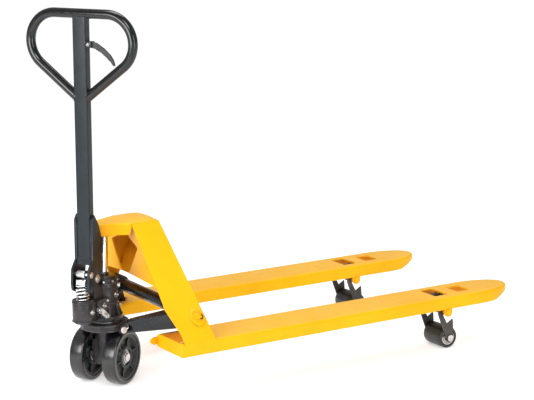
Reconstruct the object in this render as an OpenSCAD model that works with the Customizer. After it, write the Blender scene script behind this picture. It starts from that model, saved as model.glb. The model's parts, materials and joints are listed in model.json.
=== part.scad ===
// Hand pallet jack: forks raised, pump unit steered to one side, handle upright.
// X runs from the ram towards the fork tips, Y to the left, Z up from the floor.

/* [Forks] */
// Overall width across both forks
overall_w = 685; // [680:1:700]
// Width of one fork
fork_w = 156; // [152:1:160]
// Height of a fork's top face, forks raised
fork_top = 189; // [187:1:191]
// Height of a fork's side walls
fork_h = 42; // [40:1:44]
// Thickness of the fork sheet
sheet_t = 5; // [4:0.5:5]
// Distance from the ram axis to the fork tips
tip_x = 1422; // [1400:1:1450]
// Length of the rounded nose
nose_len = 158; // [130:1:160]
// Radius of the long top corners
corner_r = 10; // [6:1:12]

/* [Head] */
// Height of the head's shoulders
head_z = 520; // [516:1:524]
// Half width of the head at its shoulders
head_half_w = 70; // [68:1:76]
// Thickness of the leg plates
leg_t = 6; // [6:1:9]
// Height of the hood's crown
crown_z = 528; // [524:1:532]

/* [Lift] */
// Lift stroke, from forks raised to forks lowered
lift = 106; // [100:1:106]
// Diameter of the ram
ram_d = 30; // [28:1:32]
// Radius of the lift cylinder
cylinder_r = 43; // [41:1:45]
// Top of the lift cylinder
cylinder_top = 350; // [346:1:354]
// Radius of the swivel collar
collar_r = 76; // [74:1:78]

/* [Rocker] */
// Radius of the torque tube
torque_r = 21; // [20:1:22]
// Length of the down-levers
lever_len = 84; // [83:1:85]
// Radius of the push rod pins
lever_pin_r = 6; // [5:0.5:6]

/* [Load wheels] */
// Diameter of a load roller
roller_d = 74; // [72:1:74]
// Width of a load roller
roller_w = 93; // [88:1:94]

/* [Steer wheels] */
// Diameter of a steer wheel
wheel_d = 177; // [174:1:177]
// Width of a steer wheel
wheel_w = 48; // [44:1:48]
// Distance from the middle to each wheel's middle
wheel_y = 59; // [58:1:61]

/* [Handle] */
// Rest angle of the pump unit about the ram axis
steer_rest = 32.2; // [0:0.1:33]
// Height of the handle's top
handle_top = 1198; // [1190:1:1210]
// Diameter of the loop's tube
loop_d = 30; // [28:1:32]
// Distance of the handle tube behind the ram axis
handle_back = 103; // [101:1:105]

/* [Hidden] */
$fn = 48;
arc_steps = 20;
fork_bottom = fork_top - fork_h;
fork_y = (overall_w - fork_w) / 2;
heel_x = 86;
heel_lug_x = 60;
nose_x = tip_x - nose_len;
nose_steps = 14;
under_taper_x = 1330;
tip_under_z = 175;
mouth_end_x = 212;
mouth_half_w = 52;
lever_slot_half = 16;
front_hole_x = [1192, 1245];
front_hole_half = 34;
rear_hole_x = [1090, 1143];
rear_hole_half = 43;
load_pivot = [1120, 137];
load_shaft_r = 10;
lug_r = 16;
lug_head_r = 11;
running = 0.05;

leg_foot_y = overall_w / 2;
leg_run = leg_foot_y - head_half_w;
leg_drop = head_z - fork_top;
leg_len = sqrt(leg_run * leg_run + leg_drop * leg_drop);
leg_turn = 180 - atan(leg_drop / leg_run);
leg_t_level = leg_t * leg_len / leg_drop;
leg_top_rear = 65;
leg_top_front = 163;
leg_foot_front = 207;
leg_foot_rear = 97;
leg_waist_x = 73;
gusset_x = 76;
apron_t = 5;
apron_bottom_z = 290;
hood_t = 5;
hood_bottom_z = 484;
hood_nose_r = 42;
hood_waist = [22, 47];
hood_step = 60;
seat_r = 27;
seat_bottom_z = 478;
ram_bottom_z = 316;
bore_bottom_z = ram_bottom_z - lift - 8;

pivot = [170, 254];
pivot_pin_r = 12;
pivot_pin_in = 232;
leg_out_at_pivot = head_half_w + leg_run * (head_z - pivot[1]) / leg_drop;
boss_r = 24;
boss_proud = 3;
torque_half = 258;
trunnion = [15, 190];
trunnion_r = 9;
trunnion_out = 102;
collar_bottom = 180;
collar_top = 202;
arm_in = 88;
arm_out = 100;
arm_end_in = 198;
arm_end_out = 244;
arm_eye_r = 15;
arm_collar_r = torque_r + 6;
arm_slot_r = trunnion_r + 1.8;
arm_slot_len = 13.5;
lever_angle = 18.8;
lever_drop = lever_len * cos(lever_angle);
lever_fore = lever_len * sin(lever_angle);
lever_t = 16;
rod_y = fork_y - 12;
lever_hub_r = torque_r + 3.5;
rod_w = 20;
rod_h = 16;
rod_play = 1.2;
load_lever_rise = 33.3;

axle_z = wheel_d / 2;
axle_r = 12.5;
bearing_r = 26;
hub_r = 74;
stem_r = 30;
piston_back = 130;
barrel_r = 33;
barrel_top = 300;
barrel_bottom = 226;
hinge = [-95, 363];
hinge_r = 8;
hinge_lug_r = 12;
piston_r = 12;
piston_foot_z = 276;
yoke_roller = [-piston_back, 381];
yoke_roller_r = 13;
roller_axle_r = 6;
piston_cap_top = yoke_roller[1] - yoke_roller_r - 1.2;
spring_bottom = 289;
spring_top = 352;
spring_r = 22;
spring_wire = 4;
spring_turns = 5;
tube_w = 46;
tube_d = 28;
tube_wall = 3;
tube_bottom = 428;
yoke_in = 25;
yoke_out = 33;
loop_straight = 91.5;
loop_bend_r = 87;
loop_slope = 38;
control_pivot = [-31, 1091];
control_t = 8;
release_pivot = [-62, 236];

yellow = "gold";
black = "dimgray";
chrome = "gainsboro";
zinc = "silver";
charcoal = "darkslategray";

// ---- shared shapes ----

// Turns what it holds into the pump unit's steered direction.
module steered() {
    rotate([0, 0, steer_rest]) children();
}

// A cylinder along Y between two Y values, at a place in the XZ plane.
module across(at, r, y0, y1) {
    translate([at[0], y1, at[1]]) rotate([90, 0, 0]) cylinder(r = r, h = y1 - y0);
}

// A profile drawn in the XZ plane, made solid between two Y values.
module side_plate(y0, y1) {
    translate([0, y1, 0]) rotate([90, 0, 0]) linear_extrude(y1 - y0) children();
}

// A profile drawn in the YZ plane, made solid between two X values.
module front_plate(x0, x1) {
    translate([x0, 0, 0]) rotate([90, 0, 90]) linear_extrude(x1 - x0) children();
}

// A round-ended bar in the plane.
module link(a, b, r) {
    d = b - a;
    translate(a) circle(r);
    translate(b) circle(r);
    translate(a) rotate(atan2(d[1], d[0])) translate([0, -r]) square([norm(d), 2 * r]);
}

// Points along an arc, from one angle to another.
function arc(at, r, from, to) = [
    for (i = [0:arc_steps]) let (a = from + (to - from) * i / arc_steps) at + r * [cos(a), sin(a)]
];

// Puts what it holds on one side: -1 is the right, +1 is the left.
module on_side(s) {
    mirror([0, s > 0 ? 1 : 0, 0]) children();
}

// A ring between two Z values.
module ring(r_out, r_in, z0, z1) {
    difference() {
        translate([0, 0, z0]) cylinder(r = r_out, h = z1 - z0);
        translate([0, 0, z0 - 1]) cylinder(r = r_in, h = z1 - z0 + 2);
    }
}

// ---- forks ----

// Plan of one fork, its middle on y = 0, drawn in by an inset.
function fork_outline(inset) = concat(
    [[heel_x + inset, inset - fork_w / 2]],
    [for (i = [0:nose_steps]) let (a = 90 * i / nose_steps)
        [nose_x + (nose_len - inset) * sin(a), -(fork_w / 2 - inset) * cos(a)]],
    [for (i = [nose_steps - 1:-1:0]) let (a = 90 * i / nose_steps)
        [nose_x + (nose_len - inset) * sin(a), (fork_w / 2 - inset) * cos(a)]],
    [[heel_x + inset, fork_w / 2 - inset]]
);

// Cross-section of a fork: square below, round corners at the top.
module fork_section() {
    half = fork_w / 2;
    translate([-half, fork_bottom - 1]) square([fork_w, fork_h + 1 - corner_r]);
    translate([corner_r - half, fork_bottom]) square([fork_w - 2 * corner_r, fork_h]);
    for (s = [-1, 1]) {
        translate([s * (half - corner_r), fork_top - corner_r]) circle(corner_r);
    }
}

module fork_body() {
    intersection() {
        translate([0, 0, fork_bottom]) linear_extrude(fork_h) polygon(fork_outline(0));
        front_plate(heel_x, tip_x) fork_section();
        side_plate(-fork_w, fork_w) polygon([
            [heel_x, fork_bottom], [under_taper_x, fork_bottom],
            [tip_x, tip_under_z], [tip_x, fork_top], [heel_x, fork_top]
        ]);
    }
    // The inner wall's lug, behind the heel.
    translate([heel_lug_x, fork_w / 2 - sheet_t, fork_bottom + 8])
        cube([heel_x - heel_lug_x + 1, sheet_t, fork_h - 18]);
    // The round lugs that hold the load wheel pivot.
    for (y0 = [-fork_w / 2, fork_w / 2 - sheet_t]) {
        side_plate(y0, y0 + sheet_t) {
            translate(load_pivot) circle(lug_r);
            translate([load_pivot[0] - lug_r, load_pivot[1]]) square([2 * lug_r, 14]);
        }
    }
}

module window(xs, half) {
    translate([xs[0], -half, fork_top - 2 * sheet_t])
        cube([xs[1] - xs[0], 2 * half, 4 * sheet_t]);
}

// One fork, its middle on y = 0 and its inner wall at +Y.
module fork() {
    difference() {
        fork_body();
        translate([0, 0, fork_bottom - 1])
            linear_extrude(fork_h - sheet_t + 1) polygon(fork_outline(sheet_t));
        window(front_hole_x, front_hole_half);
        window(rear_hole_x, rear_hole_half);
        window([heel_x + 6, leg_foot_front - 6], mouth_half_w);
        translate([0, fork_y - rod_y, 0])
            window([leg_foot_front - 8, mouth_end_x], lever_slot_half);
        across(load_pivot, load_shaft_r, -fork_w, fork_w);
    }
}

module fork_left() {
    color(yellow) on_side(1) translate([0, -fork_y, 0]) fork();
}

module fork_right() {
    color(yellow) translate([0, -fork_y, 0]) fork();
}

module load_pivot_shafts() {
    head_out = fork_w / 2 + 4;
    color(yellow) for (s = [-1, 1]) {
        translate([0, s * fork_y, 0]) {
            across(load_pivot, load_shaft_r, -head_out, head_out);
            for (e = [-1, 1]) {
                y0 = e > 0 ? fork_w / 2 : -head_out;
                across(load_pivot, lug_head_r, y0, y0 + 4);
            }
        }
    }
}

// ---- head ----

// Leg-plate plane on the right side: x along X, y down the slant, z inwards.
module leg_plane() {
    translate([0, -head_half_w, head_z]) rotate([-leg_turn, 0, 0]) children();
}

module leg_plate() {
    difference() {
        leg_plane() linear_extrude(leg_t) polygon([
            [leg_top_rear, 0], [leg_top_front, 0], [leg_foot_front, leg_len],
            [leg_foot_rear, leg_len], [leg_foot_rear, 0.93 * leg_len],
            [leg_waist_x, 0.72 * leg_len], [leg_waist_x, 0.5 * leg_len]
        ]);
        across(pivot, boss_r, -leg_foot_y, -leg_foot_y / 2);
    }
}

module leg_plate_left() {
    color(yellow) on_side(1) leg_plate();
}

module leg_plate_right() {
    color(yellow) leg_plate();
}

// Triangular skirt that closes the rear of each leg above the rocker.
module leg_gusset() {
    inner = leg_t_level;
    function leg_y(z) = -head_half_w - leg_run * (head_z - z) / leg_drop + inner;
    front_plate(gusset_x, gusset_x + 6) polygon([
        [leg_y(500), 500], [leg_y(340), 340], [-26, 349], [-86, 442], [-29, 468], [-29, 500]
    ]);
}

module leg_gusset_left() {
    color(yellow) on_side(1) leg_gusset();
}

module leg_gusset_right() {
    color(yellow) leg_gusset();
}

module apron_plate() {
    slope = (leg_foot_front - leg_top_front) / leg_drop;
    bottom_x = leg_top_front + slope * (head_z - apron_bottom_z);
    top_half = head_half_w - leg_t_level;
    bottom_half = top_half + leg_run * (head_z - apron_bottom_z) / leg_drop;
    color(yellow) intersection() {
        side_plate(-leg_foot_y, leg_foot_y) polygon([
            [leg_top_front - apron_t, head_z], [leg_top_front, head_z],
            [bottom_x, apron_bottom_z], [bottom_x - apron_t, apron_bottom_z]
        ]);
        front_plate(0, leg_foot_front) polygon([
            [-top_half, head_z], [top_half, head_z],
            [bottom_half, apron_bottom_z], [-bottom_half, apron_bottom_z]
        ]);
    }
}

// Plan of the hood, drawn in by an inset.
function hood_outline(inset) = concat(
    [for (a = [120:15:240]) (hood_nose_r - inset) * [cos(a), sin(a)]],
    [[hood_waist[0], inset - hood_waist[1]], [hood_step + inset / 2, inset - head_half_w],
     [leg_top_front - inset, inset - head_half_w],
     [leg_top_front - inset, head_half_w - inset],
     [hood_step + inset / 2, head_half_w - inset], [hood_waist[0], hood_waist[1] - inset]]
);

module hood_block(inset) {
    low = hood_bottom_z - (inset > 0 ? 1 : 0);
    half = head_half_w;
    intersection() {
        translate([0, 0, low]) linear_extrude(crown_z) polygon(hood_outline(inset));
        front_plate(-100, 200) polygon([
            [-half, low], [-half, head_z - inset], [-half / 2, crown_z - 2 - inset],
            [0, crown_z - inset], [half / 2, crown_z - 2 - inset],
            [half, head_z - inset], [half, low]
        ]);
        side_plate(-half, half) polygon([
            [-100, low], [-100, crown_z - 10 - inset], [0, crown_z - 4 - inset],
            [110, crown_z - inset], [200, crown_z - inset], [200, low]
        ]);
    }
}

module head_hood() {
    color(yellow) difference() {
        hood_block(0);
        hood_block(hood_t);
        translate([gusset_x, -150, hood_bottom_z - 1])
            cube([150, 300, head_z - hood_bottom_z + 1]);
    }
}

module ram_seat() {
    color(yellow) difference() {
        translate([0, 0, seat_bottom_z])
            cylinder(r = seat_r, h = crown_z - 4 - hood_t - seat_bottom_z - 2);
        translate([0, 0, seat_bottom_z - 1]) cylinder(d = ram_d, h = 13);
    }
}

module ram() {
    color(chrome) translate([0, 0, ram_bottom_z])
        cylinder(d = ram_d, h = seat_bottom_z + 12 - ram_bottom_z);
}

// Round bosses on the legs, each with the pin that the rocker turns on.
module rocker_pivot_pins() {
    color(yellow) for (s = [-1, 1]) {
        on_side(s) {
            intersection() {
                across(pivot, boss_r, -leg_foot_y, -leg_foot_y / 2);
                leg_plane() translate([0, 0, -boss_proud])
                    cube([leg_foot_front, leg_len, leg_t + boss_proud]);
            }
            across(pivot, pivot_pin_r, -leg_out_at_pivot - boss_proud + 1, -pivot_pin_in);
        }
    }
}

// ---- swivel collar ----

module swivel_collar() {
    color(black) difference() {
        union() {
            ring(collar_r, stem_r + 1, collar_bottom, collar_top);
            intersection() {
                across(trunnion, 12, -collar_r - 6, collar_r + 6);
                translate([-20, -collar_r - 6, collar_bottom - 5])
                    cube([80, 2 * collar_r + 12, 40]);
            }
        }
        translate([0, 0, collar_bottom - 20]) cylinder(r = stem_r + 1, h = 80);
        across(trunnion, trunnion_r, -150, 150);
    }
}

module collar_trunnions() {
    color(zinc) for (s = [-1, 1]) {
        on_side(s) across(trunnion, trunnion_r, -trunnion_out, -52);
    }
}

module thrust_bearing() {
    color(zinc) ring(52, stem_r + 1, collar_top, collar_top + 6);
}

// ---- pump unit ----

module pump_housing() {
    foot_z = collar_top + 6.3;
    color(black) steered() difference() {
        union() {
            translate([0, 0, foot_z]) cylinder(r = 58, h = 16);
            translate([0, 0, foot_z]) cylinder(r = cylinder_r, h = cylinder_top - 22 - foot_z);
            // Stem and wheel block below the collar.
            translate([0, 0, axle_z]) cylinder(r = stem_r, h = foot_z - axle_z);
            translate([-28, -30, axle_z - 26]) cube([56, 60, 80]);
            // Bridge to the pump barrel.
            translate([-piston_back + 8, -28, 226]) cube([piston_back - 20, 56, 62]);
            // Lugs that hold the handle's hinge pin.
            side_plate(-20, 20) {
                link(hinge, [-76, 330], hinge_lug_r);
                polygon([[-91, 280], [-30, 280], [-30, 345], [-64, 345], [-91, 335]]);
            }
        }
        translate([0, 0, bore_bottom_z]) cylinder(r = ram_d / 2 + 4, h = 200);
        translate([0, 0, cylinder_top - 22]) cylinder(r = cylinder_r + 30, h = 60);
        across([0, axle_z], axle_r, -100, 100);
        translate([-piston_back, 0, 200]) cylinder(r = barrel_r, h = 150);
        across(hinge, hinge_r, -50, 50);
    }
}

module cylinder_gland() {
    color(black) steered() difference() {
        union() {
            ring(cylinder_r, ram_d / 2 + running, cylinder_top - 22, cylinder_top - 6);
            ring(cylinder_r - 6, ram_d / 2 + running, cylinder_top - 6, cylinder_top);
        }
        // Clears the hinge lugs.
        translate([-80, -20.5, cylinder_top - 30]) cube([50, 41, 40]);
    }
}

module pump_barrel() {
    color(black) steered() translate([-piston_back, 0, 0]) difference() {
        union() {
            translate([0, 0, barrel_bottom + 5])
                cylinder(r = barrel_r, h = barrel_top - barrel_bottom - 5);
            translate([0, 0, barrel_bottom]) cylinder(r = barrel_r - 6, h = 6);
        }
        translate([0, 0, spring_bottom]) cylinder(r = spring_r + 2, h = 50);
        translate([0, 0, barrel_bottom + 6]) cylinder(r = piston_r + running, h = 70);
    }
}

module steer_axle() {
    reach = wheel_y + wheel_w / 2 - 6;
    color(zinc) steered() across([0, axle_z], axle_r, -reach, reach);
}

module axle_nuts() {
    seat = wheel_y + wheel_w / 2 - 6;
    color(zinc) steered() for (s = [-1, 1]) {
        on_side(s) {
            translate([0, -seat, axle_z]) rotate([90, 0, 0]) cylinder(r = 15, h = 5, $fn = 6);
            across([0, axle_z], 17, -seat - 0.01, -seat + 2);
        }
    }
}

module handle_hinge_pin() {
    color(zinc) steered() {
        across(hinge, hinge_r, -yoke_out - 4, yoke_out + 4);
    }
}

module release_valve() {
    color(zinc) steered() {
        translate([-90, 0, 0]) across([0, 262], 9, -36, -28);
        translate([-58, 0, 0]) across([0, 270], 7, -34, -28);
        across(release_pivot, 7, -50, -28);
    }
}

module filler_plug() {
    color(zinc) steered() rotate([0, 0, -66]) translate([cylinder_r - 1, 0, 318])
        rotate([0, 90, 0]) cylinder(r = 8, h = 9, $fn = 6);
}

// ---- steer wheels ----

module wheel_ring(s, r_out, r_in, w) {
    steered() translate([0, s * wheel_y, axle_z]) rotate([90, 0, 0])
        translate([0, 0, -w / 2]) ring(r_out, r_in, 0, w);
}

module steer_tyre(s) {
    soft = 5;
    steered() translate([0, s * wheel_y, axle_z]) rotate([90, 0, 0]) rotate_extrude() polygon([
        [hub_r, -wheel_w / 2 + 1], [wheel_d / 2 - soft, -wheel_w / 2],
        [wheel_d / 2, soft - wheel_w / 2], [wheel_d / 2, wheel_w / 2 - soft],
        [wheel_d / 2 - soft, wheel_w / 2], [hub_r, wheel_w / 2 - 1]
    ]);
}

module steer_hub(s) {
    half = wheel_w / 2;
    steered() translate([0, s * wheel_y, axle_z]) rotate([90, 0, 0]) rotate_extrude() polygon([
        [bearing_r, -half + 4], [36, -half + 4], [40, -half + 14], [62, -half + 14],
        [66, -half + 3], [hub_r, -half + 3], [hub_r, half - 3], [66, half - 3],
        [62, half - 14], [40, half - 14], [36, half - 4], [bearing_r, half - 4]
    ]);
}

module steer_bearing(s) {
    wheel_ring(s, bearing_r, axle_r + running, wheel_w - 18);
}

module steer_tyre_left() { color(black) steer_tyre(1); }
module steer_tyre_right() { color(black) steer_tyre(-1); }
module steer_hub_left() { color(black) steer_hub(1); }
module steer_hub_right() { color(black) steer_hub(-1); }
module steer_bearing_left() { color(zinc) steer_bearing(1); }
module steer_bearing_right() { color(zinc) steer_bearing(-1); }

// ---- handle ----

module handle_tube() {
    top = handle_top - loop_d;
    color(charcoal) steered() translate([-handle_back, 0, 0]) difference() {
        translate([-tube_d / 2, -tube_w / 2, tube_bottom]) cube([tube_d, tube_w, top - tube_bottom]);
        translate([tube_wall - tube_d / 2, tube_wall - tube_w / 2, tube_bottom - 1])
            cube([tube_d - 2 * tube_wall, tube_w - 2 * tube_wall, top - tube_bottom - 5]);
        // Slot for the control lever's inner arm.
        translate([-7, -tube_w, control_pivot[1] - 16]) cube([14, tube_w - 10, 32]);
    }
}

module yoke_profile() {
    polygon([
        [-104, 566], [-80, 532], [-67, 500], [-62, 470], [-62, 400], [-74, 352],
        [-88, 342], [-106, 343], [-128, 322], [-142, 330], [-146, 352], [-142, 396],
        [-118, 424], [-118, 548]
    ]);
}

module handle_yoke() {
    tube_half = tube_w / 2;
    color(charcoal) steered() difference() {
        union() {
            for (s = [-1, 1]) {
                on_side(s) {
                    side_plate(-yoke_out, -yoke_in) yoke_profile();
                    translate([-handle_back - 12, -yoke_in, tube_bottom])
                        cube([24, yoke_in - tube_half, 110]);
                }
            }
            translate([-handle_back - 14, -yoke_in, tube_bottom - 20]) cube([28, 2 * yoke_in, 20]);
        }
        across(hinge, hinge_r + running, -50, 50);
        across(yoke_roller, roller_axle_r, -50, 50);
        translate([-handle_back, -8, 300]) cylinder(r = 5, h = 200);
    }
}

// Centre line of the loop's bends and braces, on one side.
module loop_half() {
    bend_z = handle_top - loop_d / 2 - loop_bend_r;
    end_y = loop_straight + loop_bend_r * sin(loop_slope);
    end_z = bend_z - loop_bend_r * cos(loop_slope);
    brace = (end_y - tube_w / 2 + 4) / cos(loop_slope);
    translate([0, loop_straight, bend_z]) rotate([90, 0, 90])
        rotate([0, 0, loop_slope - 90]) rotate_extrude(angle = 180 - loop_slope)
        translate([loop_bend_r, 0]) circle(d = loop_d);
    translate([0, end_y, end_z]) rotate([90 + loop_slope, 0, 0]) cylinder(d = loop_d, h = brace);
}

module handle_loop() {
    bar_z = handle_top - loop_d / 2;
    color("black") steered() translate([-handle_back, 0, 0]) difference() {
        union() {
            across([0, bar_z], loop_d / 2, -loop_straight, loop_straight);
            loop_half();
            mirror([0, 1, 0]) loop_half();
        }
        translate([-tube_d / 2, -tube_w / 2, tube_bottom])
            cube([tube_d, tube_w, handle_top - loop_d - tube_bottom]);
    }
}

module roller_axle() {
    color(zinc) steered() across(yoke_roller, roller_axle_r, -yoke_out - 3, yoke_out + 3);
}

module yoke_roller() {
    color(zinc) steered() difference() {
        across(yoke_roller, yoke_roller_r, -14, 14);
        across(yoke_roller, roller_axle_r + running, -20, 20);
    }
}

module pump_piston() {
    color(chrome) steered() translate([-piston_back, 0, 0]) {
        translate([0, 0, piston_foot_z]) cylinder(r = piston_r, h = spring_top - piston_foot_z);
        translate([0, 0, spring_top]) cylinder(r = spring_r - 1, h = piston_cap_top - spring_top);
    }
}

// Return spring: stacked round coils between the barrel and the cap.
module return_spring() {
    pitch = (spring_top - spring_bottom - spring_wire) / (spring_turns - 1);
    color(zinc) steered() translate([-piston_back, 0, spring_bottom + spring_wire / 2]) {
        for (i = [0:spring_turns - 1]) {
            translate([0, 0, i * pitch]) rotate_extrude()
                translate([spring_r - spring_wire / 2, 0]) circle(d = spring_wire, $fn = 24);
        }
    }
}

// ---- hand control ----

module control_bracket() {
    side = tube_w / 2;
    color(charcoal) steered() translate([-handle_back, 0, 0]) {
        for (x0 = [-12, control_t / 2 + 1]) {
            translate([x0, -side - 17, control_pivot[1] - 9]) cube([7, 17, 18]);
        }
        translate([-13, control_pivot[0], control_pivot[1]]) rotate([0, 90, 0])
            cylinder(r = 3.5, h = 26);
    }
}

module control_lever() {
    py = control_pivot[0];
    pz = control_pivot[1];
    color("dimgray") steered() translate([-handle_back - control_t / 2, 0, 0]) difference() {
        rotate([90, 0, 90]) linear_extrude(control_t) {
            translate(control_pivot) circle(9);
            // Inner arm that reaches into the tube.
            translate([py, pz - 5]) square([24, 10]);
            polygon([
                [py + 4, pz + 9], [py - 22, pz + 6], [py - 48, pz - 10], [py - 70, pz - 30],
                [py - 80, pz - 46], [py - 84, pz - 60], [py - 78, pz - 60], [py - 70, pz - 48],
                [py - 58, pz - 36], [py - 40, pz - 22], [py - 20, pz - 12], [py + 2, pz - 9]
            ]);
        }
        translate([-1, py, pz]) rotate([0, 90, 0]) cylinder(r = 3.5 + running, h = control_t + 2);
    }
}

module control_rod() {
    top = control_pivot[1] - 8;
    color(zinc) steered() translate([-handle_back, -8, 0]) {
        translate([0, 0, 404]) cylinder(r = 3, h = top - 404);
        translate([-4, -4, top - 6]) cube([8, 8, 6]);
    }
}

module release_arm() {
    color(zinc) steered() difference() {
        side_plate(-46, -40) {
            link(release_pivot, release_pivot + [-34, 26], 9);
        }
        across(release_pivot, 7 + running, -60, 0);
    }
}

// ---- rocker ----

module torque_tube() {
    color(black) difference() {
        across(pivot, torque_r, -torque_half, torque_half);
        across(pivot, pivot_pin_r + running, -300, -pivot_pin_in + 4);
        across(pivot, pivot_pin_r + running, pivot_pin_in - 4, 300);
        across(pivot, torque_r - 5, -pivot_pin_in + 12, pivot_pin_in - 12);
    }
}
// Plan of what is cut away on one side of the arm's bend.
module arm_beyond(near_y, bend, far_y, limit) {
    translate([0, 0, 100]) linear_extrude(250) polygon([
        [-40, near_y], [bend[0], near_y], [bend[1], far_y],
        [230, far_y], [230, limit], [-40, limit]
    ]);
}

// Flared arm from a collar trunnion out to the torque tube, on the right side.
module rocker_arm() {
    reach = pivot - trunnion;
    slope = atan2(reach[1], reach[0]);
    slot_end = trunnion + arm_slot_len * reach / norm(reach);
    difference() {
        side_plate(-leg_foot_y, 0) polygon(concat(
            arc(trunnion, arm_eye_r, slope + 90, slope + 270),
            arc(pivot, arm_collar_r, slope - 90, slope + 90)
        ));
        arm_beyond(-arm_in, [44, 136], -arm_end_in, 10);
        arm_beyond(-arm_out, [26, 128], -arm_end_out, -leg_foot_y - 10);
        across(pivot, torque_r, -leg_foot_y, 0);
        side_plate(-leg_foot_y, 0) link(trunnion, slot_end, arm_slot_r);
    }
}

module rocker_arm_left() {
    color(black) on_side(1) rocker_arm();
}

module rocker_arm_right() {
    color(black) rocker_arm();
}

function lever_pin_at() = pivot + [lever_fore, -lever_drop];

// The levers that reach down into the forks.
module down_levers() {
    half = lever_t / 2;
    pin = lever_pin_at();
    color(black) for (s = [-1, 1]) {
        translate([0, s * rod_y, 0]) difference() {
            side_plate(-half / 2, half / 2) {
                translate(pin) circle(11);
                translate(pivot) circle(lever_hub_r);
                polygon([
                    pivot + [23, -6], pin + [10, 4], pin + [-11, -2], pivot + [-22, -9]
                ]);
            }
            across(pivot, torque_r, -50, 50);
            across(pin, lever_pin_r, -50, 50);
        }
    }
}

module lever_pins() {
    color(zinc) for (s = [-1, 1]) {
        translate([0, s * rod_y, 0]) across(lever_pin_at(), lever_pin_r, -14, 14);
    }
}

// Push rod: a clevis behind, a straight bar, an open-topped fork in front.
module push_rod() {
    back = lever_pin_at();
    front = load_pivot + [lever_fore, load_lever_rise];
    mid_z = (back[1] + front[1]) / 2;
    difference() {
        side_plate(-rod_w / 2, rod_w / 2) {
            translate([back[0] + 20, mid_z - rod_h / 2]) square([front[0] - back[0] - 30, rod_h]);
            translate(back) circle(11);
            translate([back[0], back[1] - 11]) square([34, 20]);
            translate([front[0] - 12, 157.5]) square([24, 24]);
        }
        // Clevis gap around the down-lever.
        translate([back[0] - 30, -lever_t / 4 - 1, back[1] - 40]) cube([60, lever_t / 2 + 2, 80]);
        across(back, lever_pin_r + running, -50, 50);
        across(front, lever_pin_r + rod_play, -50, 50);
        translate([front[0] - lever_pin_r - rod_play, -50, front[1]])
            cube([2 * (lever_pin_r + rod_play), 100, 40]);
    }
}

module push_rod_left() {
    color(black) translate([0, rod_y, 0]) push_rod();
}

module push_rod_right() {
    color(black) translate([0, -rod_y, 0]) push_rod();
}

// ---- load wheels ----

load_axle = [load_pivot[0] + 27, roller_d / 2];

module load_frame(s) {
    q = load_pivot;
    rod_shift = s * (rod_y - fork_y);
    a = load_axle;
    pin = q + [lever_fore, load_lever_rise];
    cheek_in = 12;
    cheek_out = 20;
    plate_in = roller_w / 2 + 4;
    plate_out = plate_in + 5;
    difference() {
        union() {
            for (y0 = [-plate_out, plate_in]) {
                side_plate(y0, y0 + plate_out - plate_in) {
                    translate(q) circle(14);
                    translate(a) circle(15);
                    polygon([
                        q + [-22, 8], q + [6, 13], q + [-6, -12], a + [-14, 52],
                        a + [10, 66], a + [15, 2], a + [-14, -4], q + [-24, -10]
                    ]);
                }
            }
            across(q, 13.5, -plate_in, plate_in);
            translate([0, rod_shift, 0]) {
                for (e = [-1, 1]) {
                    on_side(e) side_plate(-cheek_out, -cheek_in) {
                        translate(pin) circle(9);
                        polygon([q + [-10, 8], q + [12, -6], pin + [8, -4], pin + [-8, 4]]);
                    }
                }
                across(pin, lever_pin_r, -cheek_out, cheek_out);
            }
        }
        across(q, load_shaft_r + running, -100, 100);
        across(a, load_shaft_r, -100, 100);
    }
}

module at_fork(s) {
    translate([0, s * fork_y, 0]) children();
}

module load_axle_pin() {
    reach = roller_w / 2 + 9 + 3;
    across(load_axle, load_shaft_r, -reach, reach);
}

module load_roller() {
    difference() {
        across(load_axle, roller_d / 2, -roller_w / 2, roller_w / 2);
        across(load_axle, bearing_r, -roller_w, roller_w);
    }
}

module load_bearings() {
    difference() {
        for (e = [-1, 1]) {
            y0 = e > 0 ? roller_w / 2 - 16 : 2 - roller_w / 2;
            across(load_axle, bearing_r, y0, y0 + 14);
        }
        across(load_axle, load_shaft_r + running, -100, 100);
    }
}

module load_frame_left() { color(black) at_fork(1) load_frame(1); }
module load_frame_right() { color(black) at_fork(-1) load_frame(-1); }
module load_axle_left() { color(zinc) at_fork(1) load_axle_pin(); }
module load_axle_right() { color(zinc) at_fork(-1) load_axle_pin(); }
module load_roller_left() { color("black") at_fork(1) load_roller(); }
module load_roller_right() { color("black") at_fork(-1) load_roller(); }
module load_bearings_left() { color(zinc) at_fork(1) load_bearings(); }
module load_bearings_right() { color(zinc) at_fork(-1) load_bearings(); }

// ---- pieces ----
fork_left();
fork_right();
leg_plate_left();
leg_plate_right();
leg_gusset_left();
leg_gusset_right();
apron_plate();
head_hood();
ram_seat();
ram();
rocker_pivot_pins();
load_pivot_shafts();
swivel_collar();
collar_trunnions();
thrust_bearing();
pump_housing();
cylinder_gland();
pump_barrel();
steer_axle();
axle_nuts();
handle_hinge_pin();
release_valve();
filler_plug();
steer_tyre_left();
steer_hub_left();
steer_bearing_left();
steer_tyre_right();
steer_hub_right();
steer_bearing_right();
handle_tube();
handle_yoke();
handle_loop();
roller_axle();
control_bracket();
yoke_roller();
pump_piston();
return_spring();
control_lever();
control_rod();
release_arm();
torque_tube();
rocker_arm_left();
rocker_arm_right();
down_levers();
lever_pins();
push_rod_left();
push_rod_right();
load_frame_left();
load_frame_right();
load_axle_left();
load_axle_right();
load_roller_left();
load_roller_right();
load_bearings_left();
load_bearings_right();
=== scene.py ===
"""Looks of a hand pallet jack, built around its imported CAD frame. Metres, in the frame's axes."""

import json
import random
from math import atan2, copysign, cos, pi, radians, sin, sqrt, tan, tau

import bmesh
import bpy
from mathutils import Matrix, Vector


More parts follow.
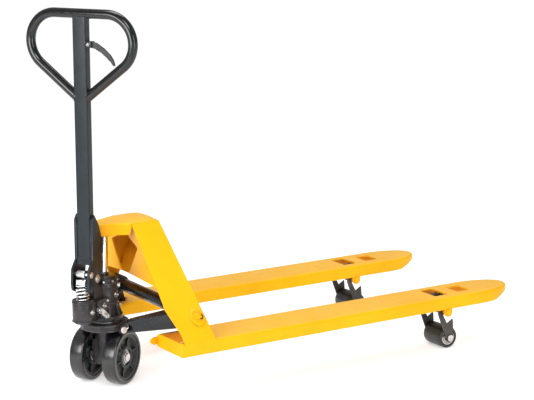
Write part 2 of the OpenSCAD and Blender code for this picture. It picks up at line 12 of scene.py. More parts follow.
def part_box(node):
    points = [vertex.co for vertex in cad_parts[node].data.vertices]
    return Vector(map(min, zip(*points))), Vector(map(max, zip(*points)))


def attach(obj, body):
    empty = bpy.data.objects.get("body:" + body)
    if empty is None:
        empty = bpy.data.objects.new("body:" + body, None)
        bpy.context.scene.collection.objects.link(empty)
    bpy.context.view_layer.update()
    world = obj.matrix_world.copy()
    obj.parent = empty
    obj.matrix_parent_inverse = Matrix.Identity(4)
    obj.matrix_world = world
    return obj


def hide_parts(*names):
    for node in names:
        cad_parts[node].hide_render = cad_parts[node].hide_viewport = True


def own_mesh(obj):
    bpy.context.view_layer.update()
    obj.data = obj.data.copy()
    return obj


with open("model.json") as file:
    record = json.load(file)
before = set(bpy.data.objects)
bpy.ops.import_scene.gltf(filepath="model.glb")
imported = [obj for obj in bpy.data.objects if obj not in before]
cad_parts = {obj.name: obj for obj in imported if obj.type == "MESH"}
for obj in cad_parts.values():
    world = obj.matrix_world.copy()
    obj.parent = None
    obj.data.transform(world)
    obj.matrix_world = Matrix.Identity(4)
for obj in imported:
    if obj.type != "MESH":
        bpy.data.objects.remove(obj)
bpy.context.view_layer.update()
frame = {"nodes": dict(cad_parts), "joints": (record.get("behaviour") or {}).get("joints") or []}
nodes = frame["nodes"]
scene = bpy.context.scene
random.seed(7)

X, Y, Z = Vector((1, 0, 0)), Vector((0, 1, 0)), Vector((0, 0, 1))


def joint(name):
    return next(j for j in frame["joints"] if j["name"] == name)


def middle(node):
    low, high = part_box(node)
    return (low + high) / 2


# The pump unit is drawn straight and then turned with the steering.
TILT_AXIS = Vector(joint("handle_tilt")["axis"])
STEER_ANGLE = atan2(TILT_AXIS.x, -TILT_AXIS.y)
STEERED = Matrix.Rotation(STEER_ANGLE, 4, "Z")
STRAIGHT = Matrix.Identity(4)
SIDEWAYS = STEERED.to_3x3() @ Y


# ---- mesh building ----


def bridge(bm, low, high):
    """Faces between two rings of equal length, or between a ring and a single point."""
    n = max(len(low), len(high))
    for i in range(n):
        k = (i + 1) % n
        if len(low) == 1:
            bm.faces.new((low[0], high[i], high[k]))
        elif len(high) == 1:
            bm.faces.new((low[i], low[k], high[0]))
        else:
            bm.faces.new((low[i], low[k], high[k], high[i]))


def add_lathe(bm, profile, centre, axis, steps=72, closed=True):
    """Turns (radius, height) points about an axis. An open profile starts and ends on the axis."""
    turn = Z.rotation_difference(Vector(axis)).to_matrix()
    centre = Vector(centre)
    rings = []
    for radius, height in profile:
        count = 1 if radius < 1e-7 else steps
        angles = [tau * i / steps for i in range(count)]
        points = [Vector((radius * cos(a), radius * sin(a), height)) for a in angles]
        rings.append([bm.verts.new(centre + turn @ p) for p in points])
    for low, high in zip(rings, rings[1:]):
        bridge(bm, low, high)
    if closed:
        bridge(bm, rings[-1], rings[0])


def add_sweep(bm, path, radius, sides=24, swell=None):
    """A round bar along a path, with closed ends. swell(i) scales the radius at point i."""
    path = [Vector(p) for p in path]
    tangents = []
    for i in range(len(path)):
        before, after = path[max(i - 1, 0)], path[min(i + 1, len(path) - 1)]
        tangents.append((after - before).normalized())
    normal = tangents[0].orthogonal().normalized()
    rings = []
    for i, (point, tangent) in enumerate(zip(path, tangents)):
        normal = (normal - tangent * normal.dot(tangent)).normalized()
        side = tangent.cross(normal)
        r = radius * (swell(i) if swell else 1)
        angles = [tau * k / sides for k in range(sides)]
        rings.append([bm.verts.new(point + r * (cos(a) * normal + sin(a) * side)) for a in angles])
    for low, high in zip(rings, rings[1:]):
        bridge(bm, low, high)
    bridge(bm, [bm.verts.new(path[0])], rings[0])
    bridge(bm, rings[-1], [bm.verts.new(path[-1])])


def add_prism(bm, outline, along, thickness):
    """A flat plate: 3-D outline points, pushed along a direction by a thickness."""
    push = Vector(along).normalized() * thickness
    low = [bm.verts.new(Vector(p)) for p in outline]
    high = [bm.verts.new(Vector(p) + push) for p in outline]
    bridge(bm, low, high)
    bm.faces.new(low)
    bm.faces.new(high)


def add_hex(bm, centre, axis, across_flats, height, washer=1.35):
    """A hexagon bolt head with a chamfered top, a shallow dish and a washer under it."""
    r = across_flats / sqrt(3)
    flat = height * 0.2
    add_lathe(bm, [
        (0, flat * 0.5), (r, flat * 0.5), (r, height * 0.85), (r * 0.86, height), (r * 0.45, height),
        (r * 0.4, height * 0.9), (0, height * 0.9),
    ], centre, axis, steps=6, closed=False)
    add_lathe(bm, [
        (0, 0), (r * washer, 0), (r * washer, flat * 0.7), (r * washer * 0.95, flat), (0, flat),
    ], centre, axis, steps=32, closed=False)


def add_pin_end(bm, centre, axis, radius, height):
    """A round pin head with a chamfer and a centre dimple."""
    edge = min(radius, height) * 0.3
    add_lathe(bm, [
        (0, -height * 0.5), (radius, -height * 0.5), (radius, height - edge), (radius - edge, height),
        (radius * 0.25, height), (0, height - radius * 0.2),
    ], centre, axis, steps=40, closed=False)


def add_weld(bm, path, radius, ripple=0.0035):
    """A weld bead along a path, with its ripples."""
    path = [Vector(p) for p in path]
    points = [path[0]]
    for a, b in zip(path, path[1:]):
        count = max(1, round((b - a).length / (ripple / 3)))
        points += [a.lerp(b, k / count) for k in range(1, count + 1)]
    wander = [random.uniform(-0.1, 0.1) for _ in points]
    add_sweep(bm, points, radius, 10, lambda i: 0.92 + 0.14 * cos(tau * i / 3) + wander[i])


def link_mesh(bm, name):
    """Makes an object of what was built, and puts it in the scene."""
    bmesh.ops.recalc_face_normals(bm, faces=bm.faces)
    mesh = bpy.data.meshes.new(name)
    bm.to_mesh(mesh)
    bm.free()
    obj = bpy.data.objects.new(name, mesh)
    scene.collection.objects.link(obj)
    return obj


def finish_piece(bm, name, material, body, turn=STRAIGHT, sharp=32, bevel=0.0, replaces=()):
    """Makes an object of what was built, shades it, and puts it on its body."""
    obj = link_mesh(bm, name)
    mesh = obj.data
    mesh.transform(turn)
    mesh.materials.append(material)
    mesh.shade_smooth()
    mesh.set_sharp_from_angle(angle=radians(sharp))
    if bevel:
        soften(obj, bevel)
    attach(obj, body)
    if replaces:
        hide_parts(*replaces)
    return obj


def soften(obj, width, segments=3):
    """Rounds the edges, as paint and tumbling do."""
    mod = obj.modifiers.new("edges", "BEVEL")
    mod.width = width
    mod.segments = segments
    mod.limit_method = "ANGLE"
    mod.angle_limit = radians(32)
    mod.use_clamp_overlap = True
    mod.harden_normals = True


def dress_node(name, material, width):
    """Gives a carried-over CAD node its material, merged corners and soft edges."""
    obj = nodes[name]
    obj.data.materials.clear()
    obj.data.materials.append(material)
    weld = obj.modifiers.new("merge", "WELD")
    weld.merge_threshold = 0.00001
    obj.data.shade_smooth()
    soften(obj, width, 2)
    split = obj.modifiers.new("facets", "EDGE_SPLIT")
    split.split_angle = radians(34)


def arc(centre, radius, start, end, count):
    """Points of an arc in a plane, as pairs."""
    angles = [radians(start + (end - start) * i / count) for i in range(count + 1)]
    return [(centre[0] + radius * cos(a), centre[1] + radius * sin(a)) for a in angles]


# ---- materials ----


class Graph:
    """A short way to write a material's nodes."""

    def __init__(self, name):
        self.material = bpy.data.materials.new(name)
        self.material.use_nodes = True
        self.tree = self.material.node_tree
        self.tree.nodes.clear()
        self.shader = self.add("ShaderNodeBsdfPrincipled")
        output = self.add("ShaderNodeOutputMaterial")
        self.tree.links.new(self.shader.outputs[0], output.inputs[0])
        self.place = self.add("ShaderNodeTexCoord").outputs["Object"]

    def add(self, kind, **settings):
        node = self.tree.nodes.new(kind)
        for key, value in settings.items():
            setattr(node, key, value)
        return node

    def put(self, socket, value):
        if isinstance(value, bpy.types.NodeSocket):
            self.tree.links.new(value, socket)
        else:
            socket.default_value = value

    def noise(self, scale, detail=4.0, roughness=0.55, stretch=None):
        node = self.add("ShaderNodeTexNoise")
        place = self.place
        if stretch:
            mapping = self.add("ShaderNodeMapping")
            self.put(mapping.inputs["Vector"], place)
            mapping.inputs["Scale"].default_value = stretch
            place = mapping.outputs[0]
        self.put(node.inputs["Vector"], place)
        node.inputs["Scale"].default_value = scale
        node.inputs["Detail"].default_value = detail
        node.inputs["Roughness"].default_value = roughness
        return node.outputs[0]

    def spots(self, scale, low, high):
        """Cells of a Voronoi pattern, as a mask that is 1 near each cell's middle."""
        node = self.add("ShaderNodeTexVoronoi")
        self.put(node.inputs["Vector"], self.place)
        node.inputs["Scale"].default_value = scale
        return self.span(node.outputs["Distance"], low, high, 1.0, 0.0)

    def span(self, value, low, high, out_low=0.0, out_high=1.0):
        node = self.add("ShaderNodeMapRange")
        self.put(node.inputs["Value"], value)
        for key, number in zip(("From Min", "From Max", "To Min", "To Max"), (low, high, out_low, out_high)):
            node.inputs[key].default_value = number
        return node.outputs["Result"]

    def times(self, a, b):
        node = self.add("ShaderNodeMath", operation="MULTIPLY")
        self.put(node.inputs[0], a)
        self.put(node.inputs[1], b)
        return node.outputs[0]

    def mix(self, share, a, b):
        node = self.add("ShaderNodeMix", data_type="RGBA")
        self.put(node.inputs["Factor"], share)
        self.put(node.inputs[6], a)
        self.put(node.inputs[7], b)
        return node.outputs[2]

    def edges(self, radius):
        """1 on convex and concave edges within a radius, 0 on flats."""
        bevel = self.add("ShaderNodeBevel", samples=4)
        bevel.inputs["Radius"].default_value = radius
        geometry = self.add("ShaderNodeNewGeometry")
        dot = self.add("ShaderNodeVectorMath", operation="DOT_PRODUCT")
        self.put(dot.inputs[0], bevel.outputs[0])
        self.put(dot.inputs[1], geometry.outputs["Normal"])
        return self.span(dot.outputs["Value"], 0.995, 0.86)

    def crevices(self, distance):
        """1 where the surface is shut in, 0 where it is open."""
        node = self.add("ShaderNodeAmbientOcclusion", samples=6)
        node.inputs["Distance"].default_value = distance
        return self.span(node.outputs["AO"], 0.85, 0.25)

    def upward(self):
        """1 on faces that look up."""
        geometry = self.add("ShaderNodeNewGeometry")
        parts = self.add("ShaderNodeSeparateXYZ")
        self.put(parts.inputs[0], geometry.outputs["Normal"])
        return self.span(parts.outputs["Z"], 0.6, 0.95)

    def bump(self, height, strength, distance, normal=None):
        node = self.add("ShaderNodeBump")
        self.put(node.inputs["Height"], height)
        node.inputs["Strength"].default_value = strength
        node.inputs["Distance"].default_value = distance
        if normal is not None:
            self.put(node.inputs["Normal"], normal)
        return node.outputs[0]

    def surface(self, **values):
        """Sets the shader's sockets by name, with _ for spaces."""
        for key, value in values.items():
            self.put(self.shader.inputs[key.replace("_", " ")], value)
        return self.material


def rgb(red, green, blue):
    """A linear colour from 0 to 255 screen values."""
    def linear(c):
        c /= 255
        return c / 12.92 if c <= 0.04045 else ((c + 0.055) / 1.055) ** 2.4
    return (linear(red), linear(green), linear(blue), 1.0)


def yellow_enamel():
    g = Graph("yellow_enamel")
    tone = g.mix(g.span(g.noise(5, 3), 0.35, 0.65), rgb(243, 178, 10), rgb(238, 168, 6))
    streaks = g.span(g.noise(14, 5, 0.6, (0.25, 1, 1)), 0.52, 0.78, 0.0, 0.35)
    tone = g.mix(streaks, tone, rgb(230, 156, 4))
    # Painted highlight: faces that look up are lightened to a paler yellow, as if lit from above.
    painted_top_highlight = g.times(g.upward(), g.span(g.noise(9, 6), 0.3, 0.7, 0.32, 0.6))
    tone = g.mix(painted_top_highlight, tone, rgb(246, 192, 70))
    # Painted shade: creases and corners are darkened to orange-brown.
    painted_crease_shade = g.times(g.crevices(0.035), g.span(g.noise(26, 6), 0.35, 0.7, 0.2, 0.75))
    tone = g.mix(painted_crease_shade, tone, rgb(190, 105, 10))
    # Painted shade: surfaces shut in by nearby parts, such as the fork's insides and the hood's underside,
    # are darkened to orange-brown.
    painted_enclosed_shade = g.times(g.crevices(0.16), g.span(g.noise(18, 6), 0.3, 0.7, 0.55, 0.95))
    tone = g.mix(painted_enclosed_shade, tone, rgb(196, 104, 14))
    worn = g.times(g.edges(0.0016), g.span(g.noise(60, 8, 0.7), 0.54, 0.7))
    tone = g.mix(g.times(worn, 0.55), tone, rgb(255, 226, 130))
    scuffs = g.span(g.noise(75, 10, 0.75, (0.2, 1.4, 1)), 0.7, 0.78, 0.0, 0.3)
    tone = g.mix(scuffs, tone, rgb(222, 150, 20))
    peel = g.bump(g.noise(260, 2), 0.12, 0.0006)
    ripple = g.bump(g.noise(24, 3), 0.18, 0.0016, peel)
    return g.surface(
        Base_Color=tone, Roughness=g.span(g.noise(40, 6), 0.3, 0.7, 0.27, 0.42), Normal=ripple,
        Coat_Weight=0.04, Coat_Roughness=0.14, Specular_IOR_Level=0.12,
    )


def dark_paint(name, base, lift, rough, peel_scale=300.0, peel=0.1, coat=0.0, dust=0.18, shine=0.35):
    """Dark paint with dust on what looks up, pale worn edges, and painted shade darkening its corners."""
    g = Graph(name)
    tone = g.mix(g.span(g.noise(11, 5), 0.35, 0.68), base, lift)
    dusty = g.times(g.upward(), g.span(g.noise(34, 8, 0.65), 0.35, 0.75, 0.0, dust))
    tone = g.mix(dusty, tone, rgb(150, 148, 140))
    worn = g.times(g.edges(0.0014), g.span(g.noise(90, 8, 0.7), 0.46, 0.66))
    tone = g.mix(g.times(worn, 0.5), tone, rgb(165, 170, 172))
    # Painted shade: corners are darkened towards near black.
    tone = g.mix(g.times(g.crevices(0.02), 0.7), tone, rgb(8, 8, 9))
    grain = g.bump(g.noise(peel_scale, 3), peel, 0.0005)
    hollows = g.bump(g.noise(45, 4), 0.15, 0.001, grain)
    return g.surface(
        Base_Color=tone, Roughness=g.span(g.noise(55, 6), 0.3, 0.7, rough - 0.06, rough + 0.1),
        Normal=hollows, Coat_Weight=coat, Coat_Roughness=0.08, Specular_IOR_Level=shine,
    )


def cast_iron():
    """Painted casting: pitted, with runs of oil, a little rust in patches, and painted shade darkening its
    corners.
    """
    g = Graph("painted_casting")
    tone = g.mix(g.span(g.noise(22, 7, 0.65), 0.35, 0.65), rgb(18, 18, 20), rgb(48, 45, 45))
    tone = g.mix(g.span(g.noise(70, 8, 0.7), 0.6, 0.74, 0.0, 0.5), tone, rgb(104, 90, 80))
    worn = g.times(g.edges(0.002), g.span(g.noise(80, 8, 0.7), 0.42, 0.62))
    tone = g.mix(g.times(worn, 0.6), tone, rgb(178, 176, 174))
    # Painted shade: corners are darkened towards near black.
    tone = g.mix(g.times(g.crevices(0.02), 0.75), tone, rgb(10, 9, 9))
    pits = g.bump(g.noise(340, 6, 0.7), 0.35, 0.0012)
    lumps = g.bump(g.noise(80, 4), 0.35, 0.0022, pits)
    wet = g.span(g.noise(18, 5), 0.42, 0.62, 0.24, 0.55)
    return g.surface(Base_Color=tone, Roughness=wet, Normal=lumps, Specular_IOR_Level=0.45)


def metal(name, bright, dull, rough, grain=(1, 1, 1), grain_scale=160.0, bump=0.05, stain=0.0):
    """Bare or plated metal with fine machining marks, and painted shade darkening its crevices."""
    g = Graph(name)
    tone = g.mix(g.span(g.noise(30, 6), 0.3, 0.7), bright, dull)
    if stain:
        tone = g.mix(g.span(g.noise(50, 8, 0.7), 0.5, 0.72, 0.0, stain), tone, rgb(96, 78, 58))
    # Painted shade: crevices are darkened towards near black.
    tone = g.mix(g.times(g.crevices(0.012), 0.6), tone, rgb(30, 28, 28))
    marks = g.noise(grain_scale, 5, 0.6, grain)
    return g.surface(
        Base_Color=tone, Metallic=1.0, Roughness=g.span(marks, 0.3, 0.7, rough * 0.7, rough * 1.5),
        Normal=g.bump(marks, bump, 0.0004),
    )


def tread(name, base, lift, rough, coat):
    """Cast polyurethane or rubber: even, glossy, scuffed and dusty where it rolls."""
    g = Graph(name)
    tone = g.mix(g.span(g.noise(16, 5), 0.35, 0.65), base, lift)
    dust = g.span(g.noise(60, 9, 0.7), 0.5, 0.8, 0.0, 0.2)
    tone = g.mix(dust, tone, rgb(98, 97, 95))
    nicks = g.spots(130, 0.05, 0.16)
    nicks = g.times(nicks, g.span(g.noise(20, 4), 0.5, 0.6))
    scuffed = g.bump(nicks, 0.25, 0.0006)
    mould = g.bump(g.noise(220, 4), 0.1, 0.0004, scuffed)
    return g.surface(
        Base_Color=tone, Roughness=g.span(g.noise(35, 7), 0.3, 0.7, rough - 0.05, rough + 0.12), Normal=mould,
        Coat_Weight=coat, Coat_Roughness=0.2,
    )


def pale_floor():
    g = Graph("studio_floor")
    tone = g.mix(g.noise(1.5, 3), (0.86, 0.86, 0.865, 1), (0.9, 0.9, 0.9, 1))
    return g.surface(
        Base_Color=tone, Roughness=0.7, Specular_IOR_Level=0.2,
        Emission_Color=(1, 1, 1, 1), Emission_Strength=0.42,
    )


YELLOW = yellow_enamel()
ROCKER_BLACK = dark_paint("rocker_enamel", rgb(8, 11, 14), rgb(17, 22, 26), 0.26, coat=0.15)
CHARCOAL = dark_paint("charcoal_powder", rgb(13, 22, 27), rgb(20, 31, 36), 0.34, 420.0, 0.15, 0.0, 0.05)
LOOP_BLACK = dark_paint("gloss_black", rgb(5, 6, 8), rgb(9, 10, 12), 0.14, 240.0, 0.03, 0.3, 0.03)
LEVER_GREY = dark_paint("lever_coat", rgb(46, 46, 48), rgb(66, 64, 64), 0.38, 380.0, 0.2)
TRUCK_GREY = dark_paint("truck_paint", rgb(48, 48, 48), rgb(84, 78, 72), 0.5, 260.0, 0.3, 0.0, 0.3)
CASTING = cast_iron()
CHROME = metal("hard_chrome", (0.93, 0.93, 0.94, 1), (0.8, 0.81, 0.83, 1), 0.09, (1, 1, 0.04), 90.0, 0.02)
ZINC = metal("zinc_plate", (0.78, 0.79, 0.8, 1), (0.6, 0.6, 0.6, 1), 0.3, stain=0.25)
STEEL = metal(
    "ground_steel", (0.72, 0.71, 0.7, 1), (0.5, 0.49, 0.47, 1), 0.24, (1, 0.08, 1), 260.0, 0.06, 0.3
)
TYRE_BLACK = tread("steer_tread", rgb(7, 7, 9), rgb(17, 17, 19), 0.24, 0.45)
ROLLER_BLACK = tread("load_tread", rgb(14, 20, 18), rgb(28, 34, 31), 0.36, 0.15)
HUB_DARK = dark_paint("wheel_hub", rgb(16, 22, 22), rgb(30, 38, 36), 0.4, 300.0, 0.25, 0.1)


# ---- forks, replacing the two CAD forks ----

FORK_LOW, FORK_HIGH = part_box("fork_right")
FORK_TOP, FORK_BOTTOM, FORK_TIP = FORK_HIGH.z, FORK_HIGH.z - 0.042, FORK_HIGH.x
FORK_HALF = (FORK_HIGH.y - FORK_LOW.y) / 2
FORK_MID = -(FORK_LOW.y + FORK_HIGH.y) / 2
HEEL_X = 0.086
HEEL_LUG_X = FORK_LOW.x
NOSE_LEN = 0.158
SHEET = 0.005
CORNER = 0.010
TAPER_X, TAPER_Z = 1.330, 0.175
LOAD_PIVOT = Vector(joint("truck_pivot_right")["pos_m"])
ROCKER_PIVOT = Vector(joint("rocker_pivot")["pos_m"])
LEVER_Y = abs(joint("rod_pivot_right")["pos_m"][1])


def fork_plan():
    """Outline of a fork in plan with, at each point, the way inwards for the outside and the inside."""
    nose = FORK_TIP - NOSE_LEN
    heel_round = 0.3
    points = []

    def straight(x, side):
        points.append((Vector((x, side * FORK_HALF)), Vector((0, -side)), Vector((0, -side))))

    rear = Vector((HEEL_X, -FORK_HALF))
    points.append((rear, Vector((heel_round, 1)), Vector((1, 1))))
    side_steps = 24
    for i in range(1, side_steps):
        straight(HEEL_X + (nose - HEEL_X) * i / side_steps, -1)
    steps = 56
    for i in range(steps + 1):
        a = pi * i / steps
        at = Vector((nose + NOSE_LEN * sin(a), -FORK_HALF * cos(a)))
        out = Vector((sin(a) / NOSE_LEN, -cos(a) / FORK_HALF)).normalized()
        points.append((at, -out, -out))
    for i in range(side_steps - 1, 0, -1):
        straight(HEEL_X + (nose - HEEL_X) * i / side_steps, 1)
    points.append((Vector((HEEL_X, FORK_HALF)), Vector((heel_round, -1)), Vector((1, -1))))
    return points


def fork_under(x):
    """Height of the skirt's lower edge, which rises under the nose."""
    rise = max(0.0, (x - TAPER_X) / (FORK_TIP - TAPER_X))
    return FORK_BOTTOM + (TAPER_Z - FORK_BOTTOM) * rise


def fork_shell(name):
    """The fork as one bent sheet: skirt, rounded shoulder and top, outside and inside."""
    bm = bmesh.new()
    plan = fork_plan()
    turns = 8
    rings = []

    def ring(inset, drop, inner):
        loop = []
        for at, outer_way, inner_way in plan:
            p = at + inset * (inner_way if inner else outer_way)
            low = fork_under(at.x)
            z = low if drop is None else max(low, FORK_TOP - drop)
            loop.append(bm.verts.new((p.x, p.y, z)))
        rings.append(loop)

    edge = 0.0008
    ring(edge, None, False)
    for z_share in (0.0, 0.34, 0.67):
        loop = []
        for at, _, _ in plan:
            low = fork_under(at.x) + edge
            loop.append(bm.verts.new((at.x, at.y, low + (FORK_TOP - CORNER - low) * z_share)))
        rings.append(loop)
    for i in range(turns + 1):
        a = pi / 2 * i / turns
        ring(CORNER * (1 - cos(a)), CORNER * (1 - sin(a)), False)
    top_ring = rings[-1]
    inner_start = len(rings)
    ring(CORNER + 0.001, SHEET, True)
    inner_round = CORNER - SHEET
    for i in range(turns, -1, -1):
        a = pi / 2 * i / turns
        ring(SHEET + inner_round * (1 - cos(a)), SHEET + inner_round * (1 - sin(a)), True)
    loop = []
    for at, _, inner_way in plan:
        p = at + SHEET * inner_way
        loop.append(bm.verts.new((p.x, p.y, fork_under(at.x) + edge)))
    rings.append(loop)
    ring(SHEET - edge, None, True)
    for low, high in zip(rings[:inner_start], rings[1:inner_start]):
        bridge(bm, low, high)
    for low, high in zip(rings[inner_start:], rings[inner_start + 1:]):
        bridge(bm, low, high)
    bridge(bm, rings[-1], rings[0])
    bm.faces.new(top_ring)
    bm.faces.new(list(reversed(rings[inner_start])))
    return link_mesh(bm, name)


def cut_windows(obj, holes, corner=0.006):
    """Cuts round-cornered windows, each (x from, x to, half width, middle), through the top sheet."""
    bm = bmesh.new()
    for x0, x1, half, mid in holes:
        outline = []
        for cx, cy, start in ((x1, half, 0), (x0, half, 90), (x0, -half, 180), (x1, -half, 270)):
            centre = (cx - copysign(corner, cx - (x0 + x1) / 2), cy - copysign(corner, cy))
            outline += arc(centre, corner, start, start + 90, 5)
        add_prism(bm, [(x, y + mid, FORK_TOP - 2 * SHEET) for x, y in outline], Z, 4 * SHEET)
    cutter = link_mesh(bm, "windows")
    mod = obj.modifiers.new("windows", "BOOLEAN")
    mod.operation = "DIFFERENCE"
    mod.solver = "EXACT"
    mod.object = cutter
    bpy.context.view_layer.update()
    done = bpy.data.meshes.new_from_object(obj.evaluated_get(bpy.context.evaluated_depsgraph_get()))
    obj.modifiers.clear()
    obj.data = done
    bpy.data.objects.remove(cutter)


def fork_lugs(bm):
    """Round lugs that carry the load wheel pivot, and the heel's inner lug."""
    lug_r = 0.016
    for wall in (-FORK_HALF, FORK_HALF - SHEET):
        outline = [(LOAD_PIVOT.x - lug_r, FORK_BOTTOM + 0.004)]
        outline += arc((LOAD_PIVOT.x, LOAD_PIVOT.z), lug_r, 180, 360, 24)
        outline += [(LOAD_PIVOT.x + lug_r, FORK_BOTTOM + 0.004)]
        add_prism(bm, [(x, wall - 0.0004, z) for x, z in outline], Y, SHEET + 0.0008)
    low, high = FORK_BOTTOM + 0.008, FORK_TOP - 0.010
    mid, reach = (low + high) / 2, (high - low) / 2
    outline = [(HEEL_X + 0.004, low), (HEEL_X + 0.004, high), (HEEL_LUG_X + reach * 0.8, high)]
    outline += arc((HEEL_LUG_X + reach * 0.8, mid), reach * 0.8, 90, 270, 14)[1:-1]
    outline += [(HEEL_LUG_X + reach * 0.8, low)]
    add_prism(bm, [(x, FORK_HALF - SHEET, z) for x, z in outline], Y, SHEET - 0.0004)


def fork_seams(bm):
    """The nose cap's weld seam across the top and down both sides, and the bead where the leg's foot stands
    on the top.
    """
    seam_x = FORK_TIP - NOSE_LEN + 0.004
    path = [(seam_x, -FORK_HALF + 0.0002, FORK_BOTTOM + 0.003)]
    for y, z in arc((-FORK_HALF + CORNER, FORK_TOP - CORNER), CORNER - 0.0004, 180, 90, 8):
        path.append((seam_x, y, z))
    path += [(seam_x, -y, z) for _, y, z in reversed(path)]
    add_weld(bm, path, 0.0008)
    foot_from, foot_to = 0.100, 0.203
    add_weld(bm, [(x, 0.0092 - FORK_HALF, FORK_TOP) for x in (foot_from, foot_to)], 0.0014)


def fork(side, name):
    """One fork, drawn with its middle on y = 0 and its inner wall at +Y, then put on its side."""
    shell = fork_shell(name)
    front = (1.192, 1.245, 0.034, 0.0)
    rear = (1.090, 1.143, 0.043, 0.0)
    mouth = (HEEL_X + 0.006, 0.201, 0.052, 0.0)
    slot_hole = (0.195, 0.212, 0.016, FORK_MID - LEVER_Y)
    cut_windows(shell, [front, rear, mouth])
    cut_windows(shell, [slot_hole], 0.003)
    bm = bmesh.new()
    bm.from_mesh(shell.data)
    bpy.data.objects.remove(shell)
    fork_lugs(bm)
    fork_seams(bm)
    flip = Matrix.Diagonal((1, -1 if side > 0 else 1, 1, 1))
    moved = Matrix.Translation((0, side * FORK_MID, 0)) @ flip
    bmesh.ops.transform(bm, matrix=moved, verts=bm.verts)
    finish_piece(bm, name, YELLOW, "chassis", sharp=40, replaces=[name.replace("_sheet", "")])


fork(1, "fork_left_sheet")
fork(-1, "fork_right_sheet")


# ---- head ----

HOOD_LOW, HOOD_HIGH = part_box("head_hood")
HEAD_FRONT = HOOD_HIGH.x
HEAD_HALF = HOOD_HIGH.y
SHOULDER_Z = 0.520
CROWN_Z = HOOD_HIGH.z
NOSE_R = 0.042


def hood_crown(x, y):
    """Height of the hood's top: crowned across, and falling towards the nose."""
    across = abs(y) / HEAD_HALF
    fall = max(0.0, (0.110 - x) / 0.152)
    ahead = max(0.0, (x - 0.135) / (HEAD_FRONT - 0.135))
    return CROWN_Z - 0.0065 * across ** 2.6 - 0.008 * fall ** 1.15 - 0.005 * ahead ** 2


def hood_plan():
    """Round-cornered outline of the hood in plan, from the nose's right side round to its left."""
    half = [(-NOSE_R, 0.0)]
    half += arc((-NOSE_R + 0.026, -0.010), 0.026, 180, 240, 8)
    half += [(-0.012, -0.0372), (0.004, -0.0415), (0.022, -0.0468), (0.040, -0.0576)]
    half += arc((0.070, -HEAD_HALF + 0.020), 0.020, 238, 270, 6)
    half += [(0.090, -HEAD_HALF), (0.120, -HEAD_HALF)]
    half += arc((HEAD_FRONT - 0.010, -HEAD_HALF + 0.010), 0.010, 270, 360, 8)
    half += [(HEAD_FRONT, -0.042), (HEAD_FRONT, -0.021)]
    other = [(x, -y) for x, y in reversed(half[1:])]
    return [Vector(p) for p in half + [(HEAD_FRONT, 0.0)] + other]


def smooth_loop(points, passes=2):
    """Evens a closed outline a little, and doubles its points each time."""
    for _ in range(passes):
        grown = []
        for i, p in enumerate(points):
            q = points[(i + 1) % len(points)]
            grown += [p, (p + q) / 2]
        points = [
            grown[i] * 0.5 + (grown[i - 1] + grown[(i + 1) % len(grown)]) * 0.25 for i in range(len(grown))
        ]
    return points


def hood():
    """Pressed cap over the ram: a skirt, a rolled edge and a crowned top, hollow underneath."""
    bm = bmesh.new()
    plan = smooth_loop(hood_plan())
    spine_low, spine_high = -0.008, 0.115
    wall = 0.005
    roll = 0.007

    def skirt(x):
        ease = min(1.0, max(0.0, (x - 0.060) / 0.008))
        return HOOD_LOW.z + (SHOULDER_Z - 0.006 - HOOD_LOW.z) * ease

    def spine(p):
        """The point of the hood's middle line that p narrows towards."""
        return Vector((min(max(p.x, spine_low), spine_high), 0))

    def inwards(p, distance):
        return p - (p - spine(p)).normalized() * distance

    def ring(inset, drop, thickness, z_from=None):
        loop = []
        for p in plan:
            q = inwards(p, inset + thickness)
            top = hood_crown(q.x, q.y) - drop - thickness
            z = top if z_from is None else skirt(p.x) + (top - skirt(p.x)) * z_from
            loop.append(bm.verts.new((q.x, q.y, z)))
        return loop

    def crown_rings(thickness):
        loops = [ring(0, roll, thickness, 0.0), ring(0, roll, thickness, 0.5)]
        for i in range(9):
            a = pi / 2 * i / 8
            loops.append(ring(roll * (1 - cos(a)), roll * (1 - sin(a)), thickness))
        for i in range(1, 7):
            share = i / 7
            loop = []
            for p in plan:
                q = inwards(p, roll + thickness).lerp(spine(p), share)
                loop.append(bm.verts.new((q.x, q.y, hood_crown(q.x, q.y) - thickness)))
            loops.append(loop)
        return loops

    outside, inside = crown_rings(0), crown_rings(wall)
    for loops in (outside, inside):
        for low, high in zip(loops, loops[1:]):
            bridge(bm, low, high)
        bm.faces.new(loops[-1])
    bridge(bm, outside[0], inside[0])
    bmesh.ops.remove_doubles(bm, verts=bm.verts, dist=0.00002)
    finish_piece(bm, "hood_cap", YELLOW, "chassis", sharp=48, replaces=["head_hood"])


hood()

LEG_RUN = FORK_MID + FORK_HALF - HEAD_HALF
LEG_DROP = SHOULDER_Z - FORK_TOP


def leg_outside(x, z, proud=0.0):
    """A point on the right leg's outer face."""
    y = -HEAD_HALF - LEG_RUN * (SHOULDER_Z - z) / LEG_DROP
    out = Vector((0, -LEG_DROP, LEG_RUN)).normalized()
    return Vector((x, y, z)) + out * proud


def head_welds():
    """Beads where the hood meets the legs, and where the gussets meet the legs."""
    bm = bmesh.new()
    for s in (-1, 1):
        def side(points):
            return [Vector((p.x, -s * p.y, p.z)) for p in points]
        shoulder = [leg_outside(0.070 + 0.090 * i / 12, SHOULDER_Z - 0.001, -0.0006) for i in range(13)]
        add_weld(bm, side(shoulder), 0.0017)
        gusset_x = 0.0835
        seam = [leg_outside(gusset_x, 0.488 - 0.146 * i / 12, -0.0088) for i in range(13)]
        add_weld(bm, side(seam), 0.0016)
    finish_piece(bm, "head_welds", YELLOW, "chassis")


